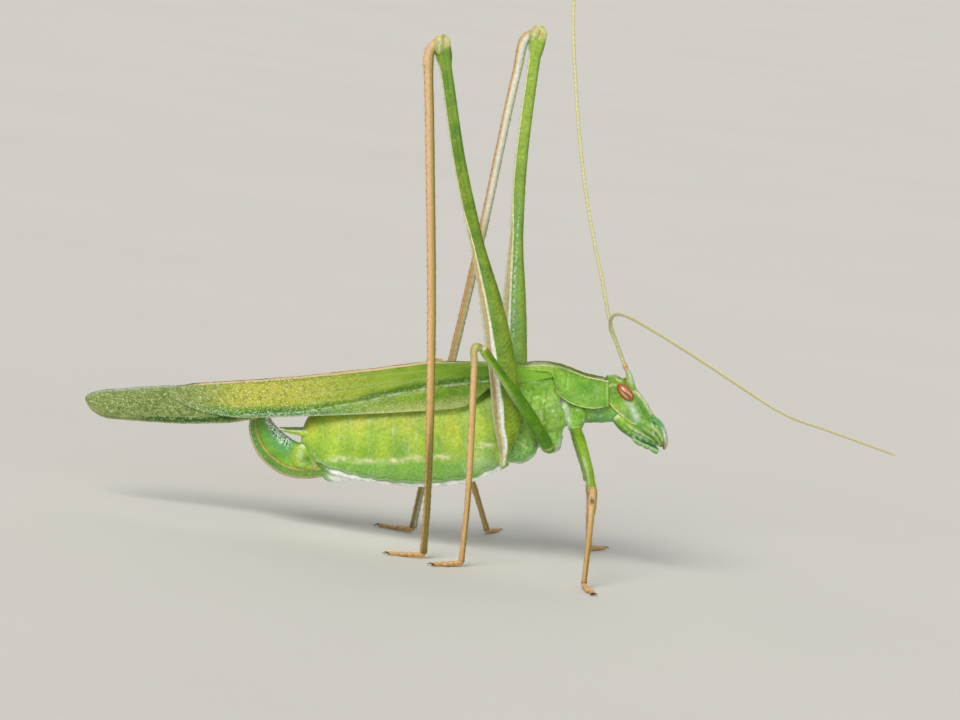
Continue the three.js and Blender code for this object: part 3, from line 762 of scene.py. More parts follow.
def shell(outer, normal, thick):
    """A closed plate below an outer sheet; s is 1 outside and 0 inside, t and c follow the grid."""
    rows, columns = outer.shape[:2]
    t, c = np.meshgrid(np.linspace(0, 1, rows), np.linspace(0, 1, columns), indexing="ij")
    rim = np.minimum(np.minimum(t, 1 - t) * 12, np.minimum(c, 1 - c) * 12)
    inner = outer - normal * (thick * (0.25 + 0.75 * np.clip(rim, 0, 1)))[..., None]
    count = rows * columns
    number = np.arange(count).reshape(rows, columns)
    a, b, d, e = number[:-1, :-1], number[:-1, 1:], number[1:, 1:], number[1:, :-1]
    quads = np.stack([a, b, d, e], -1).reshape(-1, 4)
    loop = np.concatenate([number[0, :-1], number[:-1, -1], number[-1, :0:-1], number[:0:-1, 0]])
    ahead = np.roll(loop, -1)
    edge_quads = np.stack([ahead, loop, loop + count, ahead + count], -1)
    faces = np.vstack([quads, quads[:, ::-1] + count, edge_quads]).tolist()
    points = np.vstack([outer.reshape(-1, 3), inner.reshape(-1, 3)])
    twice = [np.tile(v.ravel(), 2) for v in (t, c)]
    return Shape(points=points, faces=faces, t=twice[0], c=twice[1], s=np.repeat([1.0, 0.0], count))


def on_both_faces(zones, x):
    """Masks of a sheet's grid for the outer and the inner face of its shell."""
    return {key: np.tile((mask + 0 * x).ravel(), 2) for key, mask in zones.items()}


def bent_rows(controls, samples):
    """Smooth rows through control points, for many rows at once; also the place along each."""
    u = np.linspace(0, controls.shape[1] - 1, samples)
    i = np.clip(u.astype(int), 0, controls.shape[1] - 2)
    t = (u - i)[None, :, None]
    first = 2 * controls[:, :1] - controls[:, 1:2]
    last = 2 * controls[:, -1:] - controls[:, -2:-1]
    a, b, c, d = (np.concatenate([first, controls, last], 1)[:, i + k] for k in range(4))
    bend = 2 * b + (c - a) * t + (2 * a - 5 * b + 4 * c - d) * t**2 + (3 * b - a - 3 * c + d) * t**3
    return bend / 2, u


# %% [markdown]
# ## The shield
#
# The pronotum sits like a saddle over the front of the thorax: flat above, with a sharp pale keel
# on each shoulder and a rounded lobe down each side. Its lower edge is notched behind, where the
# wing roots come out. The cross-section is one smooth row of 17 control points at each of 180
# places along it, which gives the flat top, the keels and the hem in one sheet. Reliefs and zones
# follow the number of the control point, counted from the nearer hem.

# %% Pronotum
keel = stations((2.15, -0.28), (3.4, -0.16), (4.45, -0.3), (5.83, -0.8), (7.15, -1.1))
hem = stations(
    (2.15, -0.44), (3.8, -0.52), (4.05, -0.72), (4.17, -1.1), (4.28, -1.6), (4.6, -1.98), (5.3, -2.36),
    (6.3, -2.56), (7.05, -2.45)
)
disc = stations((2.15, 0.82), (2.7, 1.0), (4.4, 0.94), (7.15, 0.8))
flare = stations((2.15, 0.15), (3.0, 0.3), (4.4, 0.46), (5.5, 0.52), (6.6, 0.45), (7.15, 0.34))
ROWS, COLUMNS = 180, 190
KEEL_POINT, LAST_POINT = 5, 16
x = np.linspace(2.15, 7.14, ROWS)
high, low, half, out = keel(x), hem(x), disc(x), flare(x)
dip = stations((2.15, 0.03), (3.6, 0.04), (4.6, 0.1), (6.0, 0.1), (7.05, 0.03))(x)
drop = high - low
right_half = [
    (half + out, low),
    (half + out + 0.03, low + 0.1 * drop),
    (half + 0.85 * out + 0.06, low + 0.38 * drop),
    (half + 0.4 * out + 0.05, low + 0.72 * drop),
    (half + 0.03, high - np.minimum(0.14, 0.35 * drop)),
    (half - 0.04, high - 0.01),
    (half * 0.74, high - dip),
    (half * 0.37, high - 1.5 * dip),
    (half * 0.0, high - 1.6 * dip),
]
across = [(-y, z) for y, z in right_half] + right_half[-2::-1]
controls = np.stack([np.stack([y, z], -1) for y, z in across], 1)
rows, place = bent_rows(controls, COLUMNS)
sheet = np.concatenate([np.broadcast_to(x[:, None, None], (ROWS, COLUMNS, 1)), rows], -1)
from_hem = np.minimum(place, LAST_POINT - place)
normal = sheet_normals(sheet, (4.6, 0, -2))
px, py, pz = np.moveaxis(sheet, -1, 0)
shoulder = peak(from_hem - KEEL_POINT, 0.33)
outer_keel = peak(from_hem - 4.86, 0.26) * (from_hem < 5.05)
bead = peak(from_hem - 0.25, 0.22)
on_top = np.broadcast_to(from_hem > 5.1, px.shape)
front_rim = peak(px - 7.09, 0.05)
front_groove = peak(px - 6.95, 0.05)
sulcus = peak(px - 5.0 + 0.35 * abs(py) - 0.25 * step(abs(py), 0.6, 1.2), 0.07)
lift = 0.03 * shoulder + 0.03 * bead * step(px, 3.9, 4.2) + 0.01 * front_rim - 0.02 * front_groove
lift = lift - 0.025 * sulcus - 0.012 * peak(py, 0.05)
lift = lift + 0.008 * ripples(sheet, 0.35, 11) + 0.004 * ripples(sheet, 0.15, 12)
shield = shell(sheet + normal * lift[..., None], normal, 0.1)
print("pronotum sheet", ROWS, "by", COLUMNS, "points")

# %% [markdown]
# The keels and the hind part of the hem are cream, the flat top is dark green with a brown tinge,
# and the side lobes carry the pale net of the thorax.

# %% Colours of the pronotum
zones = {
    "cream": strongest(
        outer_keel * stations((2.1, 0.4), (3.7, 0.4), (4.5, 0.2), (5.1, 0.5), (5.7, 0.75), (6.8, 0.95))(px),
        0.95 * bead * step(-pz, 1.2, 1.45) * fade(px, 6.7, 7.0),
        0.15 * front_rim,
    ),
    "deep": strongest(
        # painted shade in the notch of the hem
        spot(px, pz, (4.3, -1.42), (0.08, 0.08)),
        # painted shade in the groove behind the front rim
        0.08 * front_groove,
        0.7 * on_top,
        # painted shade in a band below the keel, on the rear of the shield
        0.42 * peak(from_hem - 4.3, 0.4) * step(px, 3.9, 4.5),
    ),
    "brown": np.where(on_top, 0.22, spot(px, pz, (6.72, -1.84), (0.05, 0.05))),
    # the rear of the side lobes is partly a paler green and partly painted light that softens the shadow
    # line at the hem
    "lime": 0.3 * fade(px, 3.8, 4.5) * ~on_top,
}
shield_masks = on_both_faces(zones, px)
patches = 0.35 + 0.15 * ripples(shield.points, 0.8, 13)
shield_masks["netted"] = patches * ~np.tile(on_top.ravel(), 2)
piece("pronotum_shield", shield, leaf_green, ["pronotum"], shield_masks)
print("pronotum_shield", len(shield.faces), "faces")

# %% [markdown]
# ## Wing leather
#
# The wing cases are parchment-like. Between the main veins a net of tiny cells, about 0.1 mm
# across, covers them, and each cell is slightly domed, which is why the wings glitter. Cells this
# small are drawn by a Voronoi pattern that is stretched along the wing: the edge distance gives
# the net and its bump, and a painted shading that makes each cell's middle lighter and the net
# darker. Each cell's own random value picks some cells for a painted glint and others for a
# darker tone.

# %% Wing materials
WING_ZONES = {
    "lime": "#c9c84e",
    "grey": "#94a565",
    "teal": "#3f8468",
    "deep": "#2f661c",
    "frost": "#cfe3d8",
    "cream": "#d8dba4",
    "root": "#90c942",
    "tan": "#efcfa4",
}


def wing_leather(name, light, dark, cell_long, cell_high):
    """Parchment with a net of cells, whose length and height are given in mm."""
    material, tree, place = blank_material(name)
    level = node(tree, "Mapping", {"vector_type": "POINT", "Rotation": (0, PITCH, 0)}, {"Vector": place})
    size = (1 / (cell_long * MM), 1 / (cell_high * MM), 1 / (cell_high * MM))
    grid = node(tree, "Mapping", {"Scale": size}, {"Vector": level.outputs[0]}).outputs[0]
    colour = painted(tree, drifting(tree, noise(tree, place, 0.9, 4.0), dark, light), WING_ZONES)
    net = node(tree, "TexVoronoi", {"feature": "DISTANCE_TO_EDGE", "Scale": 1.0}, {"Vector": grid})
    dome = remap(tree, net.outputs["Distance"], 0.0, 0.28)
    cells = node(tree, "TexVoronoi", {"Scale": 1.0}, {"Vector": grid})
    chance = node(tree, "SeparateColor", links={0: cells.outputs["Color"]}).outputs[0]
    show = attribute(tree, "cells_show")
    # painted shading: each domed cell lighter in its middle and darker towards the net
    colour = blend(tree, show, colour, remap(tree, dome, 0.0, 1.0, 0.66, 1.16), "MULTIPLY")
    # painted glints: cells with a high random value get a pale highlight on their domes
    painted_glint = times(tree, remap(tree, chance, 0.55, 0.95, 0.0, 0.62), dome)
    colour = blend(tree, times(tree, painted_glint, show), colour, hue("#e8eeb8"))
    dull = times(tree, remap(tree, chance, 0.0, 0.25, 0.55, 0.0), show)
    colour = blend(tree, dull, colour, hue("#3d5a1e"))
    gloss = {"Roughness": 0.42, "Specular IOR Level": 0.12}
    glow = {**GREEN_GLOW, "Subsurface Weight": 0.2, "Subsurface Scale": 0.15 * MM}
    finished(tree, colour, ((dome, 0.012), (noise(tree, place, 0.06, 3.0), 0.006)), {**gloss, **glow})
    return material


tegmen_leather = wing_leather("tegmen_leather", "#7cab24", "#579010", 0.1, 0.08)
hindwing_leather = wing_leather("hindwing_leather", "#93a85c", "#74903f", 0.1, 0.085)
print("materials", tegmen_leather.name, hindwing_leather.name)

# %% [markdown]
# ## Wing cases
#
# Each wing case is a roof-shaped sheet: a narrow flat strip on the back, tan along its edge, then
# a bend and a long side panel. The main vein runs from the shoulder slantwise to the lower edge,
# whitish, with a dark band above it. Branches and a dozen fine slanting veins leave it. The veins
# are pushed out of the sheet by 0.01 to 0.03 mm, so they are real relief and not only colour.

# %% Lines of the wing cases
BACK_STRIP = 0.14  # the flat strip's width, as a share of the side panel's
TIP_AT = 0.32  # how far down a wing its tip lies, as a share of its height
ROOT_STRIPES = 11
WING_TOP = stations(
    (-21.9, -1.78), (-16.7, -1.41), (-11.1, -1.05), (-6.1, -0.54), (-2.2, -0.12), (1.5, -0.2),
    (3.0, -0.34), (4.1, -0.5)
)
TEGMEN_LOW = stations(
    (-17.2, -2.42), (-15.1, -2.9), (-13.3, -3.12), (-9.1, -2.95), (-3.8, -2.68), (-1.5, -2.52),
    (-0.75, -2.36), (-0.08, -1.9), (0.58, -1.42), (1.41, -1.22), (2.24, -1.12), (3.62, -0.9), (4.1, -0.8)
)
MAIN_VEIN = (
    (3.9, -0.95), (0.57, -1.0), (-2.2, -1.3), (-4.4, -1.7), (-6.6, -2.2), (-9.96, -2.77), (-13.2, -3.0),
)
BRANCHES = (
    ((-4.4, -1.7), (-7.2, -1.98), (-10.5, -2.32), (-13.5, -2.55), (-16.3, -2.4)),
    ((1.8, -0.72), (-2.5, -0.82), (-6.5, -1.3), (-10.5, -1.8), (-14.5, -2.1), (-16.9, -2.1)),
    ((1.5, -0.45), (-2.5, -0.45), (-6.5, -0.9), (-11, -1.38), (-15.5, -1.72)),
    ((-2.5, -0.82), (-4.6, -1.25), (-7.5, -1.62), (-10.5, -2.05)),
)


def rounded_tip(x, tip, rounding):
    """How wide a wing still is near its tip, from 1 down to almost 0."""
    return 0.03 + 0.97 * np.sqrt(1 - (1 - np.clip((x - tip) / rounding, 0, 1)) ** 2.4)


def slanting_veins():
    """Fine veins from the main vein down and back to the lower edge, and between the branches."""
    veins = []
    for start in np.arange(1.5, -8.5, -0.75):
        top = float(np.interp(-start, [-p[0] for p in MAIN_VEIN], [p[1] for p in MAIN_VEIN]))
        veins.append(((start, top), (start - 0.9, float(TEGMEN_LOW(start - 0.9)) + 0.02)))
    for start in np.arange(-1.0, -15.5, -1.3):
        veins.append(((start, float(WING_TOP(start)) - 0.25), (start - 1.5, float(WING_TOP(start)) - 0.95)))
    return veins


print("slanting veins", len(slanting_veins()))

# %% [markdown]
# One function draws the sheet of a wing case, its veins and its zones, for either side. `u` runs
# from the root to the tip and `v` from the bend, at 0, to the lower edge, at 1; the flat strip on
# the back lies at negative v. Near the tip every row is drawn together towards one point.

# %% One wing case
def tegmen(side):
    u, v = np.linspace(0, 1, 430)[:, None], np.linspace(-BACK_STRIP, 1, 66)[None]
    front, tip, rounding = 4.1, -17.3, 2.4
    x = front + (tip - front) * u + 0 * v
    closing = rounded_tip(x, tip, rounding)
    top, low = WING_TOP(x), TEGMEN_LOW(x)
    centre = top + TIP_AT * (low - top)
    out_top = stations((-17.3, 0.34), (-6, 0.32), (0, 0.4), (2.0, 0.97), (3.0, 1.2), (4.1, 1.26))(x)
    out_low = stations(
        (-17.3, 0.46), (-15.5, 0.64), (-12, 1.18), (-7, 1.75), (-1.5, 1.86), (-0.1, 1.7), (1.0, 1.45),
        (2.2, 1.34), (4.1, 1.36)
    )(x)
    bend = stations((-17.3, 0.2), (-6, 0.35), (0, 0.85), (4.1, 0.85))(x)
    down_side = np.clip(v, 0, 1)
    across = down_side + bend * (np.sin(down_side * np.pi / 2) - down_side)
    down = down_side + bend * (1 - np.cos(down_side * np.pi / 2) - down_side)
    strip = np.clip(-v / BACK_STRIP, 0, 1)
    y = (out_top + (out_low - out_top) * across) * (1 - strip) + 0.02 * strip
    y_mid = out_top + TIP_AT * (out_low - out_top)
    y = y_mid + (y - y_mid) * closing
    z = centre + (top + (low - top) * down - centre) * closing
    z = z + (0.04 * np.sin(strip * np.pi / 2) + (0.03 if side == LEFT else 0) * strip) * closing
    sheet = np.stack([x, y, z], -1)
    normal = sheet_normals(sheet, (-7, 0, -4))
    main = near(x, z, MAIN_VEIN, 0.034)
    branches = sum(near(x, z, line, 0.035) for line in BRANCHES)
    slants = sum(near(x, z, line, 0.028) for line in slanting_veins())
    root = step(x, 0.6, 2.4)
    stripes = root * np.cos((v + 0.02 * ripples(sheet, 1.0, 22)) * 2 * np.pi * ROOT_STRIPES)
    on_side = step(v, -0.02, 0.05) + 0 * x
    border = peak(v - 1, 0.03) + 0 * x
    fold = peak(v, 0.03) + 0 * x
    lift = (0.03 * main + 0.018 * np.minimum(branches, 1) + 0.01 * np.minimum(slants, 1)) * on_side
    lift = lift * (1 - 0.8 * root) + 0.012 * stripes * on_side
    lift = (
        lift + 0.02 * border * step(x, -15, -13) * fade(x, -1, 0.5) + 0.015 * fold
        + 0.008 * ripples(sheet, 0.6, 21 + side)
    )
    made = shell(sheet + normal * lift[..., None], normal, 0.07)
    yellow = stations((-17.3, 0.1), (-16, 0.4), (-12.5, 0.95), (-10, 0.8), (-6, 0.35), (-2, 0.15), (2, 0))
    from_low = z - low
    speckle = 0.55 + 0.45 * ripples(sheet, 0.16, 31)
    dots = ripples(sheet, 0.07, 32)
    zones = {
        "lime": yellow(x) * step(v, 0.0, 0.12) * fade(v, 0.62, 0.85)
        + 0.3 * fade(from_low, 0.3, 0.9) * step(x, -9, -5) * (1 - root),
        "grey": fade(x, -17.0, -13.0) * 0.9,
        "teal": 0.6 * fade(from_low, 0.1, 0.4) * fade(x, -8.5, -5.5) * step(x, -15.5, -14),
        "deep": strongest(
            0.8 * near(x, z - 0.2, MAIN_VEIN[:5], 0.16) * on_side,
            0.5 * near(x, z - 0.14, MAIN_VEIN[4:], 0.1) * on_side,
            0.45 * step(x, -2.5, 0.5) * (1 - root) * on_side * step(v, 0.1, 0.3),
            0.12 * np.minimum(slants, 1) * on_side,
            0.28 * np.clip(-stripes, 0, 1) * on_side,
        ),
        "root": root * step(v, 0.0, 0.1) * 0.9,
        # cells_show sets how strongly the painted cell shading and glints show: little at the root, most
        # towards the tip, along the main vein and near the lower edge
        "cells_show": (1 - 0.85 * root)
        * (0.14 + 0.86 * strongest(step(-x, 3.5, 11), 0.6 * near(x, z, MAIN_VEIN, 0.3),
            0.5 * fade(from_low, 0.5, 1.0) * step(-x, -1.5, 1.0))),
        "frost": strongest(
            main * speckle * on_side * 0.95 * (1 - root),
            0.12 * np.minimum(branches, 1) * on_side * step(-x, 1, 4),
            0.25 * near(x, z + 0.13, MAIN_VEIN[2:6], 0.05) * speckle * on_side,
            0.75 * step(dots, 0.7, 1.3) * fade(from_low, 0.25, 0.6) * fade(x, -7, -3) * on_side,
        ),
        "cream": 0.6 * border * fade(x, -5, -2) * step(x, -15, -13.5)
        + 0.12 * np.minimum(slants, 1) * (1 - root)
        + (0.25 + 0.17 * step(x, -4, -2.5)) * fade(from_low, 0.1, 0.75) * step(x, -8, -4)
        * fade(x, -1.2, 0.4) * on_side,
        "tan": fade(v, 0.012, 0.05) * (1 - 0.8 * step(x, -3.5, -0.5)) * step(x, -16.8, -15.0),
    }
    made.points[:, 1] *= side
    return made, on_both_faces(zones, x)

# %% [markdown]
# The two cases are the same sheet, mirrored, with the left one lying over the right one by a few
# hundredths of a millimetre along the back.

# %% Both wing cases
for side in (RIGHT, LEFT):
    wing_case, masks = tegmen(side)
    piece(
        f"tegmen_{HANDS[side]}", wing_case, tegmen_leather, [f"tegmen_{TAGS[side]}"], masks,
    )
print("tegmen", len(wing_case.faces), "faces each")

# %% [markdown]
# ## Hind wings
#
# At rest the hind wings are folded like a fan below the wing cases and only their tips show
# behind. They are as leathery as the wing cases there. The folds are drawn as five shallow
# pleats, and the lower edge is the stiff front border of the wing, darker green with a pale rim.

# %% Hind wings
HINDWING_LOW = stations(
    (-21.9, -2.95), (-20.7, -3.27), (-18.1, -3.48), (-16.7, -3.55), (-14.2, -3.5), (-12.9, -3.32),
    (-11.2, -2.9),
)
for side in (RIGHT, LEFT):
    u, v = np.linspace(0, 1, 230)[:, None], np.linspace(0, 1, 60)[None]
    front, tip, rounding = -11.4, -21.95, 1.3
    x = front + (tip - front) * u + 0 * v
    closing = rounded_tip(x, tip, rounding)
    top, low = WING_TOP(x) - 0.05 * step(x, -17.5, -16.5), HINDWING_LOW(x)
    centre = top + TIP_AT * (low - top)
    z = centre + (top + (low - top) * v - centre) * closing
    y = stations((0, 0.04), (0.1, 0.3), (0.5, 0.44), (0.85, 0.38), (1, 0.1))(v) * (0.3 + 0.7 * closing)
    y = y + stations((-21.9, 0), (-17.5, 0.0), (-15.5, 0.12), (-11.4, 0.4))(x) * step(v, 0.4, 1.0)
    lap = peak(v, 0.06) * (side == LEFT)
    y, z = y - 0.13 * lap, z + 0.03 * lap
    sheet = np.stack([x, y + 0.01, z], -1)
    normal = sheet_normals(sheet, (-17, -1, -2.5))
    pleats = np.abs((v * 5.5 + 0.15 * np.sin(x * 0.8)) % 1 - 0.5) * 2
    rim = peak(v - 1, 0.035) + peak(v, 0.03) + 0 * x
    lift = 0.035 * (pleats - 0.5) * (0.4 + 0.6 * u) + 0.02 * rim + 0.008 * ripples(sheet, 0.5, 41 + side)
    hind_wing = shell(sheet + normal * lift[..., None], normal, 0.05)
    hind_wing.points[:, 1] *= side
    band = step(v, 0.78, 0.84) * fade(v, 0.95, 0.98) * step(x, -19.6, -18.2) * fade(x, -13.6, -12.8)
    zones = {
        # the dark lines in the pleat valleys are painted shade; the band is the dark green front border
        "deep": np.maximum(0.85 * band, 0.25 * peak(pleats - 0.02, 0.1)),
        "frost": 0.75 * peak(v, 0.035) * fade(x, -17.0, -16.0),
        "cream": 0.8 * peak(v - 1, 0.035) + 0.25 * peak(v - 0.8, 0.015) * step(x, -20, -18.5),
        "grey": 0.35 + 0.3 * step(-x, 18, 21),
        # painted cell shading and glints at full strength
        "cells_show": 1.0,
        "tan": 0.35 * fade(x, -21.7, -20.6) * step(v, 0.6, 0.9),
    }
    masks = on_both_faces(zones, x)
    piece(
        f"hindwing_{HANDS[side]}", hind_wing, hindwing_leather,
        [f"hindwing_{TAGS[side]}"], masks,
    )
print("hindwing", len(hind_wing.faces), "faces each")

# %% [markdown]
# ## Egg blade and tail feelers
#
# The female's ovipositor is a flat sickle with which she slits leaves to lay her eggs between
# their skins. It is two blades locked by a brown double seam, and both edges carry small teeth
# near the tip. A tube of lens-shaped rings is bent up through a right angle, and teeth and seam
# are pressed into it. The two cerci beside it are short feelers.

# %% Ovipositor and cerci
rings, around = 220, 104
TEETH = 46
UPPER_SEAM, LOWER_SEAM = -0.4, -0.54
t = np.linspace(0, 1, rings)[:, None]
route = thread(
    [(-8.7, 0, -5.55), (-9.7, 0, -5.66), (-10.6, 0, -5.5), (-11.5, 0, -4.88), (-12.05, 0, -4.05),
     (-12.22, 0, -3.4), (-12.22, 0, -2.8)],
    rings,
)
deep = stations(
    (0, 0.95), (0.36, 1.0), (0.57, 0.95), (0.75, 0.8), (0.88, 0.6), (0.96, 0.36), (1, 0.08),
)(t[:, 0])
wide = stations((0, 0.6), (0.25, 0.4), (0.5, 0.24), (0.9, 0.13), (1, 0.04))(t[:, 0])
c, s = ring_angles(around)
blade = tube(route, wide, deep, (0.5, 0, 0.85), around)
seam = peak(s - UPPER_SEAM, 0.025) + peak(s - LOWER_SEAM, 0.025)
inner_edge, outer_edge = step(s, 0.86, 0.97), step(-s, 0.86, 0.97)
teeth = np.abs((t * TEETH) % 1 - 0.5) * (1.6 + 0.9 * np.sin(t * 173) * np.sin(t * 61))
lift = 0.045 * teeth * inner_edge * step(t, 0.42, 0.55) + 0.04 * teeth * outer_edge * step(t, 0.78, 0.86)
lift = lift - 0.035 * seam + 0.02 * outer_edge + 0.03 * peak(s + 0.47, 0.04)
blade = blade + outwards(blade) * (lift * fade(t, 0.97, 1.0))[..., None]
egg_blade = closed(blade, None, c, s)
rough = (
    0.5 + 0.3 * ripples(egg_blade.points, 0.045, 51)
    + 0.2 * ripples(egg_blade.points * (1, 1, 1.4), 0.09, 54)
)
along, rise = egg_blade.t, egg_blade.s
seam_line = peak(rise - UPPER_SEAM, 0.03) + peak(rise - LOWER_SEAM, 0.03)
toothed = step(rise + 0.08 * ripples(egg_blade.points, 0.12, 55), 0.42, 0.55) * step(along, 0.4, 0.5)
egg_masks = {
    "lime": 0.55 * fade(along, 0.2, 0.45),
    "cream": 0.4 * peak(rise + 0.47, 0.04) + 0.25 * step(-rise, 0.84, 0.9),
    "teal": np.maximum(
        0.75 * step(along, 0.28, 0.45) * step(rise, -0.15, 0.2) * fade(along, 0.7, 0.95),
        0.35 * step(-rise, 0.5, 0.6),
    ),
    "deep": strongest(
        0.35 * step(-rise, 0.5, 0.6) * step(0.95 + rise, 0, 0.05),
        0.9 * toothed * step(0.45 - rough, 0, 0.15),
        0.35 * step(along, 0.6, 0.9),
    ),
    "brown": np.maximum(0.8 * seam_line * step(along, 0.04, 0.12), 0.5 * step(-rise, 0.93, 0.98)),
    "pink": np.maximum(0.25 * toothed * step(along, 0.7, 0.8), 0.6 * step(-rise, 0.88, 0.94)),
    "frost": np.maximum(
        0.95 * toothed * step(rough, 0.45, 0.6) * fade(along, 0.92, 1.0),
        0.5 * peak(rise + 0.76, 0.06) * step(rough, 0.6, 0.9),
    ),
}
piece("egg_blade", egg_blade, leaf_green, ["ovipositor"], egg_masks)

print("egg_blade", len(egg_blade.faces), "faces")

# %% [markdown]
# The blade grows out of two swollen plates, each with a paler centre inside a brown circle. The
# cerci above them are soft cones with faint rings and a dark tip.

# %% Blade roots and cerci
for side in (RIGHT, LEFT):
    valve = tapered(
        mirrored([(-8.6, 0.36, -5.3), (-9.5, 0.44, -5.35), (-10.6, 0.3, -5.35)], side),
        [(0, 0.2), (0.6, 0.3), (0.9, 0.2), (1, 0.04)],
        [(0, 0.6), (0.5, 0.76), (0.8, 0.6), (0.93, 0.35), (1, 0.08)],
        (0.2, 0, 1),
        60,
        56,
    )
    vx, _, vz = valve.points.T
    ring_of = np.hypot(vx + 10.0, vz + 5.22) + 0.02 * ripples(valve.points, 0.2, 53)
    valve_masks = {
        "lime": 0.35 + 0.25 * ripples(valve.points, 0.4, 52),
        "frost": strongest(
            0.2 * fade(ring_of, 0.12, 0.42),
            # a painted highlight on the upper part of the plate
            0.95 * spot(vx, vz, (-9.87, -4.74), (0.12, 0.1)),
            0.3 * near(vx, vz, ((-10.0, -5.75), (-9.7, -5.72)), 0.08),
        ),
        "pink": 0.5 * step(vx, -9.5, -9.2),
        "brown": 0.25 * peak(ring_of - 0.3, 0.03),
        "deep": np.maximum(
            0.6 * near(vx, vz, ((-9.6, -5.35), (-9.45, -5.6), (-9.28, -5.84)), 0.03),
            0.5 * near(vx, vz, ((-9.1, -5.25), (-9.4, -4.8), (-9.6, -4.7)), 0.03),
        ),
    }
    piece(f"blade_root_{HANDS[side]}", valve, leaf_green, [], valve_masks)
    middle = thread(
        [(-9.2, 0.5 * side, -4.1), (-10.2, 0.62 * side, -3.98), (-11.2, 0.55 * side, -3.86)], 60,
    )
    size = stations((0, 0.26), (0.3, 0.19), (0.7, 0.1), (1, 0.02))(np.linspace(0, 1, 60))
    size = size * (1 + 0.05 * np.sin(np.linspace(0, 40, 60)))
    cercus = limb(middle, size, size, (0, 0, 1), 20)
    masks = {
        "lime": 0.75 * (1 - 0.5 * step(cercus.t, 0.5, 1.0)),
        "frost": 0.5 * step(cercus.s, 0.3, 0.7),
        "deep": 0.6 * peak(cercus.s + 0.1, 0.2) * step(cercus.t, 0.3, 0.5),
        "brown": step(cercus.t, 0.9, 1),
    }
    piece(f"cercus_{HANDS[side]}", cercus, leaf_green, [f"cercus_{TAGS[side]}"], masks)
print("cercus", len(cercus.faces), "faces each")

# %% [markdown]
# ## The head
#
# A bush-cricket's head hangs down from the collar of the shield, with the face slanting back to
# the mouth. It is drawn along the face's own axis: `on_face` gives a point by its distance down
# the face, out from the axis and sideways. The capsule, the sockets of the feelers, the brow
# between them and the shield over the lip are melted into one hard skin, finer than the trunk's.

# %% Head capsule
SLANT = math.radians(57.5)
FACE_DOWN = np.array([math.cos(SLANT), 0, -math.sin(SLANT)])
FACE_OUT = np.array([math.sin(SLANT), 0, math.cos(SLANT)])
CROWN = np.array([7.75, 0, -0.78])


def on_face(down, out, sideways=0.0):
    return CROWN + down * FACE_DOWN + out * FACE_OUT + np.array([0, sideways, 0])


down = np.linspace(-0.3, 3.3, 80)
front = stations(
    (-0.3, -0.6), (-0.06, -0.2), (0.17, -0.05), (0.6, 0.2), (1.21, 0.37), (2.1, 0.43), (3.3, 0.36),
)(down)
back = stations(
    (-0.3, -0.66), (-0.06, -1.0), (0.3, -1.34), (0.81, -1.6), (1.5, -1.52), (2.13, -1.34),
    (2.66, -1.12), (3.3, -0.5)
)(down)
width = stations(
    (-0.3, 0.35), (0.1, 0.82), (0.6, 1.04), (1.2, 1.13), (2.2, 1.06), (2.9, 0.82), (3.3, 0.64),
)(down)
c, s = ring_angles(64, 2.7)
middle = CROWN + down[:, None] * FACE_DOWN + ((front + back) / 2)[:, None] * FACE_OUT
capsule = middle[:, None] + (((front - back) / 2)[:, None] * s)[..., None] * FACE_OUT
capsule[..., 1] += width[:, None] * c * (1 - 0.28 * np.maximum(s, 0) ** 2)
parts = [closed(capsule)]
for side in (RIGHT, LEFT):
    socket = thread([(8.2, 0.36 * side, -1.75), (8.36, 0.38 * side, -1.42)], 12)
    parts.append(closed(tube(socket, np.linspace(0.34, 0.28, 12), np.linspace(0.36, 0.3, 12))))
brow = thread([on_face(0.5, -0.3), on_face(0.45, 0.1), on_face(0.52, 0.34)], 12)
parts.append(closed(tube(brow, np.linspace(0.26, 0.06, 12), np.linspace(0.2, 0.07, 12), (0, 1, 0))))
clypeus = thread([on_face(2.85, 0.1), on_face(3.1, 0.2), on_face(3.3, 0.22)], 14)
parts.append(
    closed(tube(clypeus, np.linspace(0.66, 0.54, 14), np.linspace(0.26, 0.22, 14), FACE_OUT, 32, 2.6)),
)
head, head_normals = fused(parts, 0.034, 3)
print("head skin", len(head.faces), "faces")

# %% [markdown]
# The cheek plate ends in a pale welt, a dark slit lies below it, and a whitish patch runs from
# the eye to the mouth. Two fine pale keels frame the narrow face. The eye sits in a low rim.

# %% Relief of the head
EYE = np.array([8.07, 0.0, -1.68])
EYE_LONG = np.array([0.69, 0, -0.72]) / math.hypot(0.69, 0.72)
EYE_SHORT = np.array([0.72, 0, 0.69]) / math.hypot(0.69, 0.72)
WELT = ((7.04, -2.12), (7.5, -2.62), (7.98, -3.07), (8.43, -3.4), (8.91, -3.6), (9.25, -3.66))
FACE_KEEL = ((8.6, -1.68), (9.06, -2.13), (9.3, -2.58), (9.53, -2.93))
CHEEK_PATCH = ((8.23, -2.25), (8.43, -2.53), (8.65, -3.04), (8.77, -3.33), (8.94, -3.58))

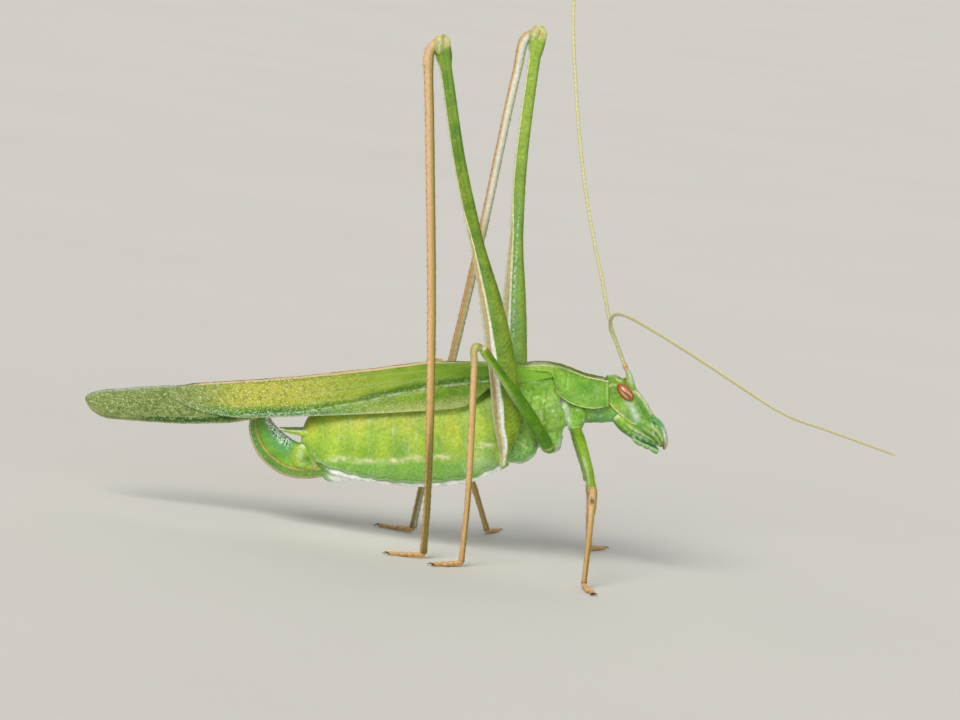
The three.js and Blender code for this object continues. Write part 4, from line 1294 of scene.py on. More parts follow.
x, y, z = head.points.T
wide_of = np.abs(y)
cheek = step(wide_of, 0.35, 0.6)
from_eye = head.points - EYE
eye_ring = np.hypot(from_eye @ EYE_LONG / 0.6, from_eye @ EYE_SHORT / 0.37)
down_face, out_face = (head.points - CROWN) @ FACE_DOWN, (head.points - CROWN) @ FACE_OUT
face = step(out_face, 0.0, 0.2)
rims = peak(eye_ring - 1.1, 0.08) * cheek
keels = near(x, z, FACE_KEEL, 0.07) * step(wide_of, 0.3, 0.42)
lip_groove = peak(down_face - 2.95, 0.035) * face
flecks = 0.6 + 0.4 * ripples(head.points, 0.14, 63)
slit = near(x + 0.03, z + 0.13, WELT[:4], 0.045) * cheek
relief = 0.02 * rims + 0.045 * near(x, z, WELT, 0.08) * cheek + 0.03 * keels - 0.035 * lip_groove
relief -= 0.02 * peak(y, 0.05) * step(-out_face, -0.2, 0.1) * fade(down_face, 0.4, 0.8)
relief -= 0.03 * near(x, z, ((8.7, -2.4), (9.0, -2.95), (9.3, -3.45)), 0.05) * cheek
relief -= 0.05 * slit
relief += 0.01 * ripples(head.points, 0.25, 61) + 0.006 * ripples(head.points, 0.1, 62)
head.points = head.points + head_normals * relief[:, None]
print("relief of the head from", relief.min().round(2), "to", relief.max().round(2), "mm")

# %% [markdown]
# The head's zones follow the same lines as its relief, so that a pale keel lies on a raised one.

# %% Colours of the head
head_masks = {
    "frost": strongest(
        0.6 * keels,
        0.85 * near(x, z, CHEEK_PATCH, 0.2) * cheek * (0.6 + 0.4 * flecks) * step(-z, 2.0, 2.9),
        0.45 * near(x, z, CHEEK_PATCH, 0.22) * cheek,
        0.35 * near(x, z, ((8.85, -3.2), (9.1, -3.5)), 0.12) * cheek,
        0.3 * spot(x, z, (8.2, -2.75), (0.45, 0.3)) * cheek * flecks,
    ),
    "cream": strongest(
        0.95 * keels,
        0.9 * near(x, z, WELT, 0.06) * cheek * (0.75 + 0.25 * flecks),
        0.9 * near(x, z, ((7.58, -0.98), (7.8, -1.1)), 0.05) * step(wide_of, 0.4, 0.6),
        0.45 * near(x, z, ((7.06, -1.75), (7.1, -1.4), (7.35, -1.25), (7.55, -1.3)), 0.05) * cheek,
        0.5 * near(x, z, ((8.4, -1.6), (8.62, -1.75)), 0.05) * cheek,
    ),
    "deep": strongest(
        0.5 * spot(x, z, (7.35, -1.35), (0.3, 0.4)) * fade(x, 7.6, 7.8),
        0.95 * slit,
        0.35 * near(x, z, ((8.75, -2.25), (9.05, -2.75), (9.25, -3.15)), 0.13) * step(wide_of, 0.5, 0.7),
        0.45 * lip_groove,
        0.35 * (1 - cheek) * fade(down_face, 0.3, 0.7),
    ),
    "teal": strongest(
        0.75 * step(down_face, 2.8, 3.0) * step(out_face, -0.3, 0.0),
        0.35 * face * step(down_face, 0.9, 1.5) * (1 - keels),
        0.3 * near(x, z, ((8.75, -2.25), (9.05, -2.75)), 0.1) * step(wide_of, 0.5, 0.7),
    ),
    "brown": 0.35 * spot(x, z, (8.15, -1.15), (0.16, 0.12)) + 0.12 * rims
    + 0.3 * spot(x, z, (8.28, -2.75), (0.07, 0.1)) * cheek,
    "lime": 0.45 * spot(x, z, (7.75, -2.5), (0.4, 0.3)) * cheek,
    "netted": 0.35 * cheek,
}
piece("head_capsule", head, leaf_green, ["head"], head_masks)
print("head_capsule painted with", sorted(head_masks))

# %% [markdown]
# ## The eyes
#
# A compound eye is packed with hexagonal lenses, here about 0.03 mm wide, so it has a satin
# shine rather than a mirror's. Its pigment lies in stripes along the eye: an orange-brown rim,
# peach streaks and one thin dark line. The shape is an egg of rings along the eye's long axis,
# and the stripes are masks across it.

# %% Eyes
EYE_ZONES = {"peach": "#e2a473", "pale": "#f3dcbf", "dark": "#3b1d0c", "rim": "#b0602c"}


def compound_eye(name):
    material, tree, place = blank_material(name)
    lens = {"Scale": 1 / (0.032 * MM), "Randomness": 0.25}
    lenses = node(tree, "TexVoronoi", lens, {"Vector": place}).outputs["Distance"]
    dome = remap(tree, lenses, 0.0, 0.6, 1.0, 0.0)
    shade = remap(tree, dome, 0.0, 1.0, 0.82, 1.08)
    colour = blend(tree, 1.0, painted(tree, hue("#c0703a"), EYE_ZONES), shade, "MULTIPLY")
    gloss = {"Roughness": 0.32, "Specular IOR Level": 0.35, "Coat Weight": 0.25, "Coat Roughness": 0.15}
    finished(tree, colour, [(dome, 0.006)], gloss)
    return material


eye_material = compound_eye("compound_eye")
for side in (RIGHT, LEFT):
    turn = np.linspace(0.03, np.pi - 0.03, 60)
    path = EYE + np.array([0, 1.02 * side, 0]) - np.cos(turn)[:, None] * 0.58 * EYE_LONG
    egg = tube(path, np.sin(turn) * 0.4, np.sin(turn) * 0.345, EYE_SHORT, 60)
    eye = closed(egg)
    long_of = (eye.points - EYE) @ EYE_LONG / 0.58
    short_of = (eye.points - EYE) @ EYE_SHORT / 0.345
    rim = np.hypot(long_of, short_of)
    wobble = 0.05 * ripples(eye.points, 0.3, 71)
    streak = peak(short_of - 0.02 + wobble, 0.075)
    masks = {
        "peach": 0.9 * peak(short_of - 0.36 + wobble, 0.2) * fade(np.abs(long_of), 0.55, 0.85)
        + 0.55 * peak(short_of + 0.4 - wobble, 0.2) * fade(np.abs(long_of), 0.5, 0.8),
        "pale": 0.95 * peak(short_of - 0.2 + wobble, 0.1) * fade(long_of, -0.3, 0.0)
        * step(long_of, -0.75, -0.5)
        + 0.6 * peak(short_of + 0.32 + wobble, 0.1) * fade(np.abs(long_of - 0.05), 0.3, 0.5)
        + 0.5 * peak(short_of - 0.42 + wobble, 0.06) * step(long_of, 0.0, 0.2) * fade(long_of, 0.5, 0.8),
        "dark": streak * step(long_of, -0.5, -0.3) * fade(long_of, 0.6, 0.8),
        "rim": 0.9 * step(rim, 0.7, 0.9),
    }
    piece(f"eye_{HANDS[side]}", eye, eye_material, [f"eye_{TAGS[side]}"], masks)
print("eyes of", len(eye.faces), "faces each")

# %% [markdown]
# ## The mouth
#
# Below the face hangs the upper lip, a rounded flap. Behind it lie the jaws, then the maxillae
# with their five-jointed palps, and the lower lip with a shorter pair of palps. Each is a tapered
# tube with its own joints: a jointed palp is one path whose radius swells at the end of each
# joint.

# %% Upper lip
def joint_of(t, joints):
    """For each place along a limb the number of its joint and the place within it, 0 to 1."""
    ends = np.array([0.0, *joints, 1.0])
    i = np.clip(np.searchsorted(ends, t, side="right") - 1, 0, len(ends) - 2)
    return i, (t - ends[i]) / (ends[i + 1] - ends[i])


def jointed(points, joints, half, count=110, around=16):
    """A palp: a thin path with swollen joint ends at the given places."""
    t = np.linspace(0, 1, count)
    _, inside = joint_of(t, joints)
    size = half * (0.62 + 0.38 * np.sin(np.pi * np.clip(inside, 0, 1) ** 1.6) ** 0.6)
    size = size * np.clip((1 - t) * 25 + 0.05, 0, 1) ** 0.5
    made = limb(thread(points, count), size, size, FACE_OUT, around)
    made.inside = np.append(np.repeat(inside, around), [0, 1])
    return made


lip = tapered(
    [on_face(2.98, 0.16), on_face(3.3, 0.28), on_face(3.65, 0.32), on_face(4.2, 0.21), on_face(4.6, 0.05),
     on_face(4.9, -0.16)],
    [(0, 0.5), (0.3, 0.58), (0.6, 0.55), (0.85, 0.36), (0.96, 0.2), (1, 0.06)],
    [(0, 0.16), (0.2, 0.24), (0.5, 0.25), (0.8, 0.2), (1, 0.07)],
    FACE_OUT,
    60,
    40,
    2.5,
)
lip_masks = {
    "teal": 0.85 * fade(lip.t, 0.7, 0.95) * (1 - 0.6 * step(lip.s, 0.75, 0.95)),
    "frost": (0.62 + 0.2 * ripples(lip.points, 0.12, 77)) * step(lip.s, -0.1, 0.3)
    * step(lip.t + 0.04 * ripples(lip.points, 0.15, 78), 0.24, 0.5) * (1 - 0.4 * step(lip.t, 0.8, 1.0)),
    "pink": 0.45 * step(lip.s, -0.1, 0.2) * step(lip.t, 0.45, 0.7),
    "brown": 0.4 * step(lip.t, 0.75, 0.95) + 0.4 * peak(lip.s + 0.25, 0.12) * step(lip.t, 0.35, 0.5),
    "deep": 0.6 * step(-lip.s, 0.15, 0.5),
}
piece("upper_lip", lip, leaf_green, ["labrum"], lip_masks)

print("upper_lip", len(lip.faces), "faces")

# %% [markdown]
# A jaw and the maxilla behind it are one piece, since their soft bases are grown together. The
# masks tell the two apart by the vertex number.

# %% Jaws and palps
for side in (RIGHT, LEFT):
    jaw = tapered(
        mirrored([on_face(2.6, -0.6, 0.66), on_face(3.2, -0.3, 0.72), on_face(3.8, -0.06, 0.6),
         on_face(4.3, -0.07, 0.38), on_face(4.65, -0.2, 0.12)], side),
        [(0, 0.16), (0.3, 0.22), (0.7, 0.17), (1, 0.06)],
        [(0, 0.3), (0.3, 0.4), (0.65, 0.34), (0.9, 0.2), (1, 0.08)],
        FACE_OUT,
        60,
    )
    maxilla = tapered(
        mirrored([(7.5, 0.6, -2.85), (7.95, 0.74, -3.42), (8.6, 0.7, -3.9), (9.25, 0.52, -4.25),
         (9.95, 0.24, -4.72)], side),
        [(0, 0.2), (0.2, 0.26), (0.5, 0.22), (0.8, 0.16), (1, 0.05)],
        [(0, 0.26), (0.2, 0.36), (0.5, 0.36), (0.8, 0.27), (1, 0.06)],
        FACE_OUT,
        60,
    )
    mouth = merged(jaw, maxilla)
    is_jaw = np.arange(len(mouth.t)) < len(jaw.t)
    fine = ripples(mouth.points, 0.15, 75)
    mouth.points = mouth.points + 0.012 * fine[:, None] * unit(mouth.points - mouth.points.mean(0))
    mouth_masks = {
        "brown": 0.9 * step(mouth.t, 0.88, 0.97) * is_jaw,
        "lime": np.where(is_jaw, 0.1, 0.5 * spot(mouth.t, mouth.s, (0.2, 0.2), (0.06, 0.35))),
        "teal": np.where(is_jaw, 0.45, 0.65 * step(mouth.t, 0.35, 0.7)) * (0.6 + 0.4 * fine),
        "cream": np.where(
            is_jaw,
            0.75 * peak(mouth.s - 0.55, 0.14) * step(mouth.t, 0.25, 0.5)
            + 0.5 * peak(mouth.s + 0.2, 0.12) * step(mouth.t, 0.15, 0.3),
            0.85 * peak(mouth.s - 0.35, 0.12) * step(mouth.t, 0.25, 0.35)
            + 0.6 * peak(mouth.t - 0.08, 0.05),
        ),
        "frost": np.where(
            is_jaw,
            0.6 * step(fine, 0.6, 1.4) * step(mouth.t, 0.2, 0.4),
            0.5 * spot(mouth.t, mouth.s, (0.6, -0.2), (0.12, 0.2))
            + 0.7 * fade(mouth.t, 0.06, 0.14)
            + 0.45 * step(fine, 0.3, 1.2) * step(mouth.t, 0.25, 0.4),
        ),
        "deep": 0.5 * step(-mouth.s, 0.6, 0.95) + 0.6 * peak(mouth.s - 0.05, 0.1)
        * step(mouth.t, 0.35, 0.5),
    }
    name = HANDS[side]
    piece(f"jaw_{name}", mouth, leaf_green, ["mouthparts"], mouth_masks)
    long_palp = jointed(
        mirrored([on_face(3.0, -1.05, 0.7), on_face(3.45, -1.22, 0.92), on_face(3.9, -1.0, 0.97),
         on_face(4.35, -0.72, 0.85), on_face(4.8, -0.52, 0.66)], side),
        (0.1, 0.22, 0.5, 0.7),
        0.13,
    )
    short_palp = jointed(
        mirrored([(8.75, 0.28, -4.42), (9.2, 0.42, -4.72), (9.6, 0.34, -4.95), (9.95, 0.26, -5.04)], side),
        (0.3, 0.6),
        0.085,
    )
    palps = merged(long_palp, short_palp)
    inside = np.concatenate([long_palp.inside, short_palp.inside])
    palp_masks = {
        "frost": 0.1 + 0.3 * step(palps.s, 0.2, 0.8),
        "cream": 0.6 * peak(inside, 0.12),
        "teal": 0.5 * step(inside, 0.2, 0.6),
        "brown": 0.35 * peak(inside, 0.05),
        "deep": 0.35 * step(-palps.s, 0.3, 0.8),
    }
    piece(f"palps_{name}", palps, leaf_green, [f"palp_{TAGS[side]}"], palp_masks)


print("jaw", len(mouth.faces), "faces and palps", len(palps.faces))

# %% [markdown]
# The lower lip closes the mouth from behind. A dark line down its middle parts its two halves.

# %% Lower lip
lower_lip = tapered(
    [(7.4, 0, -2.9), (7.85, 0, -3.62), (8.4, 0, -4.1), (9.1, 0, -4.5), (9.8, 0, -4.9)],
    [(0, 0.6), (0.3, 0.55), (0.7, 0.42), (1, 0.14)],
    [(0, 0.3), (0.4, 0.24), (0.8, 0.14), (1, 0.06)],
    FACE_OUT,
    around=32,
)
lower_masks = {
    "teal": 0.5 + 0.2 * ripples(lower_lip.points, 0.3, 76),
    "frost": 0.5 * fade(lower_lip.t, 0.05, 0.25),
    "deep": 0.7 * peak(lower_lip.c, 0.06) * step(lower_lip.t, 0.4, 0.6),
}
piece("lower_lip", lower_lip, leaf_green, [], lower_masks)
print("lower_lip", len(lower_lip.faces), "faces")

# %% [markdown]
# ## Straw cuticle
#
# The shins, feet and feelers hold no green tissue: their cuticle is dry and straw coloured, from
# peach to amber, with a lengthwise grain where the hairs stand in rows. A noise that is stretched
# along the limb would need the limb's direction, so the grain is read from two stored values:
# how far along (in mm) and how far round the limb each point is.

# %% Straw cuticle
STRAW_ZONES = {
    "orange": "#dd9350",
    "peach": "#f0c294",
    "amber": "#a8802e",
    # dark olive laid on as painted shade on the shins' side away from the key light
    "painted_shade": "#736a22",
    "green": "#a5b455",
    "frost": "#e6f0ea",
    "dark": "#4a2a12",
}


def straw_cuticle(name, light, dark, roughness=0.4):
    material, tree, place = blank_material(name)
    lie = {0: attribute(tree, "along_mm"), 1: attribute(tree, "round_turn")}
    lie = node(tree, "CombineXYZ", links=lie).outputs[0]
    stretched = node(tree, "Mapping", {"Scale": (1.2, 16.0, 1.0)}, {"Vector": lie}).outputs[0]
    grain = node(tree, "TexNoise", {"Scale": 1.0, "Detail": 4.0}, {"Vector": stretched}).outputs["Fac"]
    colour = painted(tree, drifting(tree, grain, dark, light), STRAW_ZONES)
    mottle = noise(tree, place, 0.1, 4.0)
    colour = blend(tree, 0.8, colour, remap(tree, mottle, 0.3, 0.7, 0.8, 1.15), "MULTIPLY")
    gloss = {"Roughness": roughness, "Specular IOR Level": 0.35}
    glow = {"Subsurface Weight": 0.2, "Subsurface Radius": (1.0, 0.6, 0.3), "Subsurface Scale": 0.15 * MM}
    finished(tree, colour, [(mottle, 0.01)], {**gloss, **glow})
    return material


shin_straw = straw_cuticle("shin_straw_cuticle", "#d2a868", "#b88e4c")
feeler_straw = straw_cuticle("feeler_straw_cuticle", "#e4e0ae", "#d0cb93")
claw_horn = straw_cuticle("claw_horn", "#7a4a22", "#4e2c12", 0.25)


def grain_of(shape, length):
    """The two stored values that the straw grain reads, for a tube of the given length in mm."""
    turn = np.arctan2(shape.s, shape.c) / (2 * np.pi)
    return {"along_mm": shape.t * length / 100, "round_turn": np.abs(turn)}


print("materials", shin_straw.name, feeler_straw.name, claw_horn.name)

# %% [markdown]
# ## The feelers
#
# Each feeler has a stout first joint, an orange second one, and then a whip of about 250 rings
# that is far longer than the body. The whip is a tube of 1500 fine rings whose radius swells
# at every joint, 0.2 mm thick near its root and 0.1 mm at its tip.

# %% Feelers
WHIP_RINGS = 1500
ROOT = {side: to_floor([8.03, 0.32 * side, -0.25]) for side in (RIGHT, LEFT)}
WHIPS = {
    RIGHT: ((7.4, -0.45, 12.75), (6.93, -0.7, 13.6), (6.85, -1.3, 14.1), (6.94, -2.6, 14.55),
        (7.35, -5, 14.92), (8.72, -10.5, 14.97), (11.76, -20, 14.46), (13.7, -26, 14.05),
        (15.55, -31.5, 13.75), (17.27, -36, 13.85), (20.1, -43.5, 14.03)),
    LEFT: ((6.94, 0.6, 13.69), (6.1, 0.7, 16.1), (5.34, 0.8, 18.24), (4.32, 1.05, 21.5), (3.26, 1.6, 26),
           (2.39, 2.4, 31.2), (2.5, 3.9, 38), (3.6, 5.6, 45.5), (6.2, 7.6, 53.5), (10.4, 9.8, 61.5),
           (15.6, 11.8, 69)),
}
for side in (RIGHT, LEFT):
    name, tag = HANDS[side], TAGS[side]
    stem = tapered(
        mirrored([(8.37, 0.38, -1.58), (8.32, 0.37, -1.2), (8.27, 0.35, -0.82), (8.18, 0.34, -0.54)], side),
        [(0, 0.26), (0.2, 0.26), (0.5, 0.21), (0.8, 0.15), (0.95, 0.12), (1, 0.07)],
        [(0, 0.28), (0.2, 0.27), (0.5, 0.21), (0.8, 0.15), (0.95, 0.12), (1, 0.07)],
        (1, 0, 0),
        60,
        28,
    )
    stem_masks = {
        "cream": 0.5 * step(-stem.s, -0.2, 0.4) * step(stem.t, 0.2, 0.5),
        "frost": 0.55 * step(stem.s, -0.3, 0.4) * step(stem.t, 0.1, 0.4),
        "teal": 0.35 * step(stem.s, 0.5, 0.9),
        "lime": 0.5 * fade(stem.t, 0.1, 0.35),
        "brown": 0.45 * peak(stem.s + 0.55, 0.2) * step(stem.t, 0.35, 0.6),
    }
    piece(f"feeler_root_{name}", stem, leaf_green, [f"scape_{tag}"], stem_masks)

    middle = thread([to_floor([8.17, 0.34 * side, -0.58]), ROOT[side], *WHIPS[side]], WHIP_RINGS)
    length = length_of(middle)
    far = np.linspace(0, length, WHIP_RINGS)
    half = stations(
        (0, 0.08), (0.15, 0.125), (0.36, 0.13), (0.45, 0.1), (3, 0.103), (18, 0.096), (40, 0.066),
        (80, 0.03),
    )(far)
    joint_length = stations((0, 0.2), (5, 0.24), (80, 0.34))(far)
    joint = np.cumsum(np.gradient(far) / joint_length)
    half = half * (1 + 0.05 * np.cos(2 * np.pi * joint) * step(far, 0.5, 0.7))
    whip = limb(middle, half, half, (1, 0.2, 0.1), 10)
    mm = whip.t * length
    ring_mark = np.interp(mm, far, np.cos(2 * np.pi * joint))
    whip_masks = {
        "orange": 0.85 * peak(mm - 0.24, 0.17),
        "amber": 0.14 * step(-ring_mark, 0.5, 0.9),
        "dark": 0.25 * step(mm, 45, 75),
        "frost": 0.15 * step(ring_mark, 0.2, 0.9) * fade(mm, 20, 40),
        "green": 0.45 * fade(mm, 1.5, 6) * step(whip.s, -0.2, 0.4) * step(mm, 0.4, 0.7),
        **grain_of(whip, length),
    }
    piece(
        f"feeler_{name}",
        whip,
        feeler_straw,
        [f"antenna_{tag}_{k}" for k in (1, 2, 3)],
        whip_masks,
        in_trunk=False,
    )

# %% [markdown]
# ## The legs
#
# All six legs have the same parts: thigh, shin and foot. One function makes a leg from the middle
# lines of its thigh and shin and from a form, which holds the sizes along them. The hind thigh is
# the jumping muscle: thick near the hip, long and thin towards the knee, with a fish-bone pattern
# on its sides where the muscle is anchored, and two pale keels below with a pink-brown band
# between them.

# %% Sizes of the legs
FORMS = {
    "hind": {
        "sagittal": ((0, 0.18), (0.023, 0.24), (0.05, 0.45), (0.092, 0.73), (0.145, 0.83),
            (0.29, 0.75), (0.38, 0.64), (0.47, 0.46), (0.53, 0.39), (0.92, 0.34), (0.955, 0.47),
            (0.985, 0.48), (1, 0.22)),
        "sideways": ((0, 0.24), (0.06, 0.42), (0.16, 0.52), (0.36, 0.42), (0.53, 0.28), (0.9, 0.22),
            (0.96, 0.29), (1, 0.12)),
        "shin": ((0, 0.14), (0.008, 0.2), (0.02, 0.24), (0.045, 0.245), (0.08, 0.22), (0.3, 0.215),
            (0.75, 0.19), (0.97, 0.16), (1, 0.18)),
    },
    "mid": {
        "sagittal": ((0, 0.25), (0.12, 0.34), (0.45, 0.36), (0.8, 0.24), (0.93, 0.27), (1, 0.14)),
        "sideways": ((0, 0.22), (0.5, 0.27), (0.85, 0.2), (0.95, 0.22), (1, 0.12)),
        "shin": ((0, 0.12), (0.03, 0.21), (0.08, 0.18), (0.5, 0.16), (0.96, 0.14), (1, 0.16)),
    },
    "fore": {
        "sagittal": ((0, 0.24), (0.2, 0.31), (0.6, 0.28), (0.88, 0.24), (0.95, 0.27), (1, 0.14)),
        "sideways": ((0, 0.22), (0.5, 0.25), (0.85, 0.2), (0.95, 0.23), (1, 0.12)),
        "shin": ((0, 0.12), (0.03, 0.2), (0.1, 0.22), (0.2, 0.23), (0.34, 0.16), (0.96, 0.13), (1, 0.15)),
    },
}
LEGS = {
    ("hind", RIGHT): (
        ((2.03, -1.95, 5.65), (1.98, -2.25, 7.4), (1.72, -2.5, 9.04), (1.05, -2.8, 11.6),
         (0.09, -3.1, 14.51), (-1.13, -3.6, 17.73), (-2.65, -4.15, 21.99), (-3.92, -4.72, 26.42),
         (-4.59, -5.05, 28.67)),
        ((-4.8, -5.05, 28.06), (-4.98, -5.05, 27.84), (-5.04, -5.07, 27.35), (-4.96, -5.1, 26.7),
         (-4.62, -5.1, 24.6), (-4.2, -5.1, 21.84), (-2.9, -5.0, 13.0), (-1.8, -4.6, 3.4),
         (-1.6, -4.5, 0.3)),
        -165,
    ),
    ("hind", LEFT): (
        ((1.98, 1.95, 5.6), (2.12, 2.2, 7.6), (1.95, 2.4, 9.7), (1.42, 2.75, 14.11), (1.06, 3.3, 17.41),
         (0.72, 3.98, 21.84), (0.66, 4.66, 26.5), (0.7, 5.05, 29.4)),
        ((0.16, 5.05, 28.72), (-0.03, 5.05, 28.46), (-0.13, 5.07, 27.9), (-0.17, 5.1, 27.0),
         (-0.33, 5.1, 25.2), (-0.54, 5.1, 22.3), (-0.79, 5.1, 18.5), (-1.18, 5.0, 14.0), (-2.2, 4.6, 3.4),
         (-2.44, 4.5, 0.3)),
        165,
    ),
    ("mid", RIGHT): (
        ((4.45, -1.8, 6.72), (3.83, -2.45, 7.56), (3.16, -3.0, 8.43), (2.36, -3.55, 9.4),
         (1.38, -4.2, 10.52), (-0.1, -4.95, 12.15)),
        ((-0.3, -5.08, 12.06), (-0.4, -5.14, 11.8), (-0.29, -5.2, 11.24), (-0.08, -5.25, 9.16),
         (0.22, -5.35, 6.0), (0.42, -5.43, 3.4), (0.53, -5.5, 0.3)),
        -140,
    ),
    ("mid", LEFT): (
        ((4.45, 1.8, 6.7), (3.3, 2.75, 7.55), (1.2, 3.6, 8.75), (-0.9, 4.25, 9.55), (-2.2, 4.6, 9.85)),
        ((-2.4, 4.7, 9.8), (-2.2, 5.0, 9.1), (-0.8, 6.0, 6.0), (0.9, 7.4, 2.2), (1.72, 8.0, 0.3)),
        70,
    ),
    ("fore", RIGHT): (
        ((5.85, -1.4, 7.8), (6.1, -1.95, 7.35), (6.45, -2.7, 6.6), (6.82, -3.3, 5.8), (7.1, -3.95, 4.9)),
        ((7.14, -4.1, 4.95), (7.18, -4.6, 4.3), (7.25, -5.8, 2.7), (7.3, -7.3, 0.3)),
        -75,
    ),
    ("fore", LEFT): (
        ((5.7, 1.4, 7.8), (6.0, 2.1, 6.95), (6.55, 2.95, 5.6), (7.0, 3.65, 4.45)),
        ((7.08, 3.75, 4.5), (7.2, 4.4, 3.8), (7.4, 5.7, 1.9), (7.62, 6.9, 0.3)),
        62,
    ),
}
FOOT = 2.2
print("legs", len(LEGS), "in", len(FORMS), "forms")

# %% [markdown]
# A hind thigh's rings are 0.05 mm apart, so that its fish-bone ridges of 0.3 mm are real relief. The
# root of the thigh starts inside the hip, which closes the joint, and the knee ends in two
# rounded cheeks with a brown slit, between which the shin turns.

# %% Thighs
BONE_GAP = 0.3
THIGH_GREENS = {
    "hind": green_cuticle("hind_thigh_cuticle", "#8ea72c", "#668a18", 0.42, shine=0.2),
    "mid": green_cuticle("middle_thigh_cuticle", "#689c10", "#487c06", 0.42, shine=0.18),
    "fore": green_cuticle("fore_thigh_cuticle", "#88b02a", "#6f991e", 0.4, shine=0.25),
}


def of_kind(kind, hind, mid, fore):
    return {"hind": hind, "mid": mid, "fore": fore}[kind]


def extended(points, by):
    """The same middle line, started earlier by a short straight piece."""
    p = np.array(points, float)
    return np.vstack([p[0] - unit(p[1] - p[0]) * by, p])


def thigh(kind, side, points):
    form = FORMS[kind]
    count, around = (520, 72) if kind == "hind" else (200, 48)
    middle = thread(extended(points, 0.25), count)
    t = np.linspace(0, 1, count)
    sagittal, sideways = stations(*form["sagittal"])(t), stations(*form["sideways"])(t)
    grid = tube(middle, sideways, sagittal, (1, 0, 0), around, 2.2)
    c, s = ring_angles(around, 2.2)
    length = length_of(middle)
    mm = (t * length)[:, None]
    below = step(-s, 0.75, 0.98)
    lift = -0.05 * below * peak(c, 0.4) + 0.03 * peak(np.abs(c) - 0.75, 0.14) * step(-s, 0.3, 0.8)
    bones = np.zeros_like(lift + mm)
    if kind == "hind":
        face = step(np.abs(c), 0.35, 0.7) * step(s, -0.4, -0.2) * fade(s, 0.75, 0.95)
        wave = 0.06 * ripples(grid, 0.8, 80)
        chevron = np.abs(((mm - 0.75 * np.abs(s - 0.25) + wave) / BONE_GAP) % 1 - 0.5) * 2
        bones = face * fade(t[:, None], 0.4, 0.6) * step(t[:, None], 0.06, 0.1)
        lift = lift + 0.014 * (chevron - 0.5) * bones
        bones = bones * (chevron - 0.5)
    knee_slit = peak(s - 0.1 - 0.5 * (t[:, None] - 0.985) * 20, 0.12) * step(t, 0.962, 0.972)[:, None]
    knee_slit = knee_slit * fade(t, 0.985, 0.995)[:, None]
    lift = lift - 0.06 * knee_slit + 0.006 * ripples(grid, 0.3, 81) * (sagittal / 0.8)[:, None]
    lift = lift * (np.clip(sagittal / 0.4, 0.3, 1) * step(1 - t, 0.0, 0.03))[:, None]
    grid = grid + outwards(grid) * lift[..., None]
    made = closed(grid, None, c, s)
    made.outer = made.c * -side  # 1 on the outer face of this leg
    made.ridge, made.slit = np.append(bones.ravel(), [0, 0]), np.append(knee_slit.ravel(), [0, 0])
    return made, middle, length


print("materials", *[green.name for green in THIGH_GREENS.values()])

# %% [markdown]
# The lower edge of the hind thigh is the richest in colour: two white keels, a pink-brown band with
# a brown line between them, and a row of painted glints on the inner face. `share` says how far
# across the band a point lies.

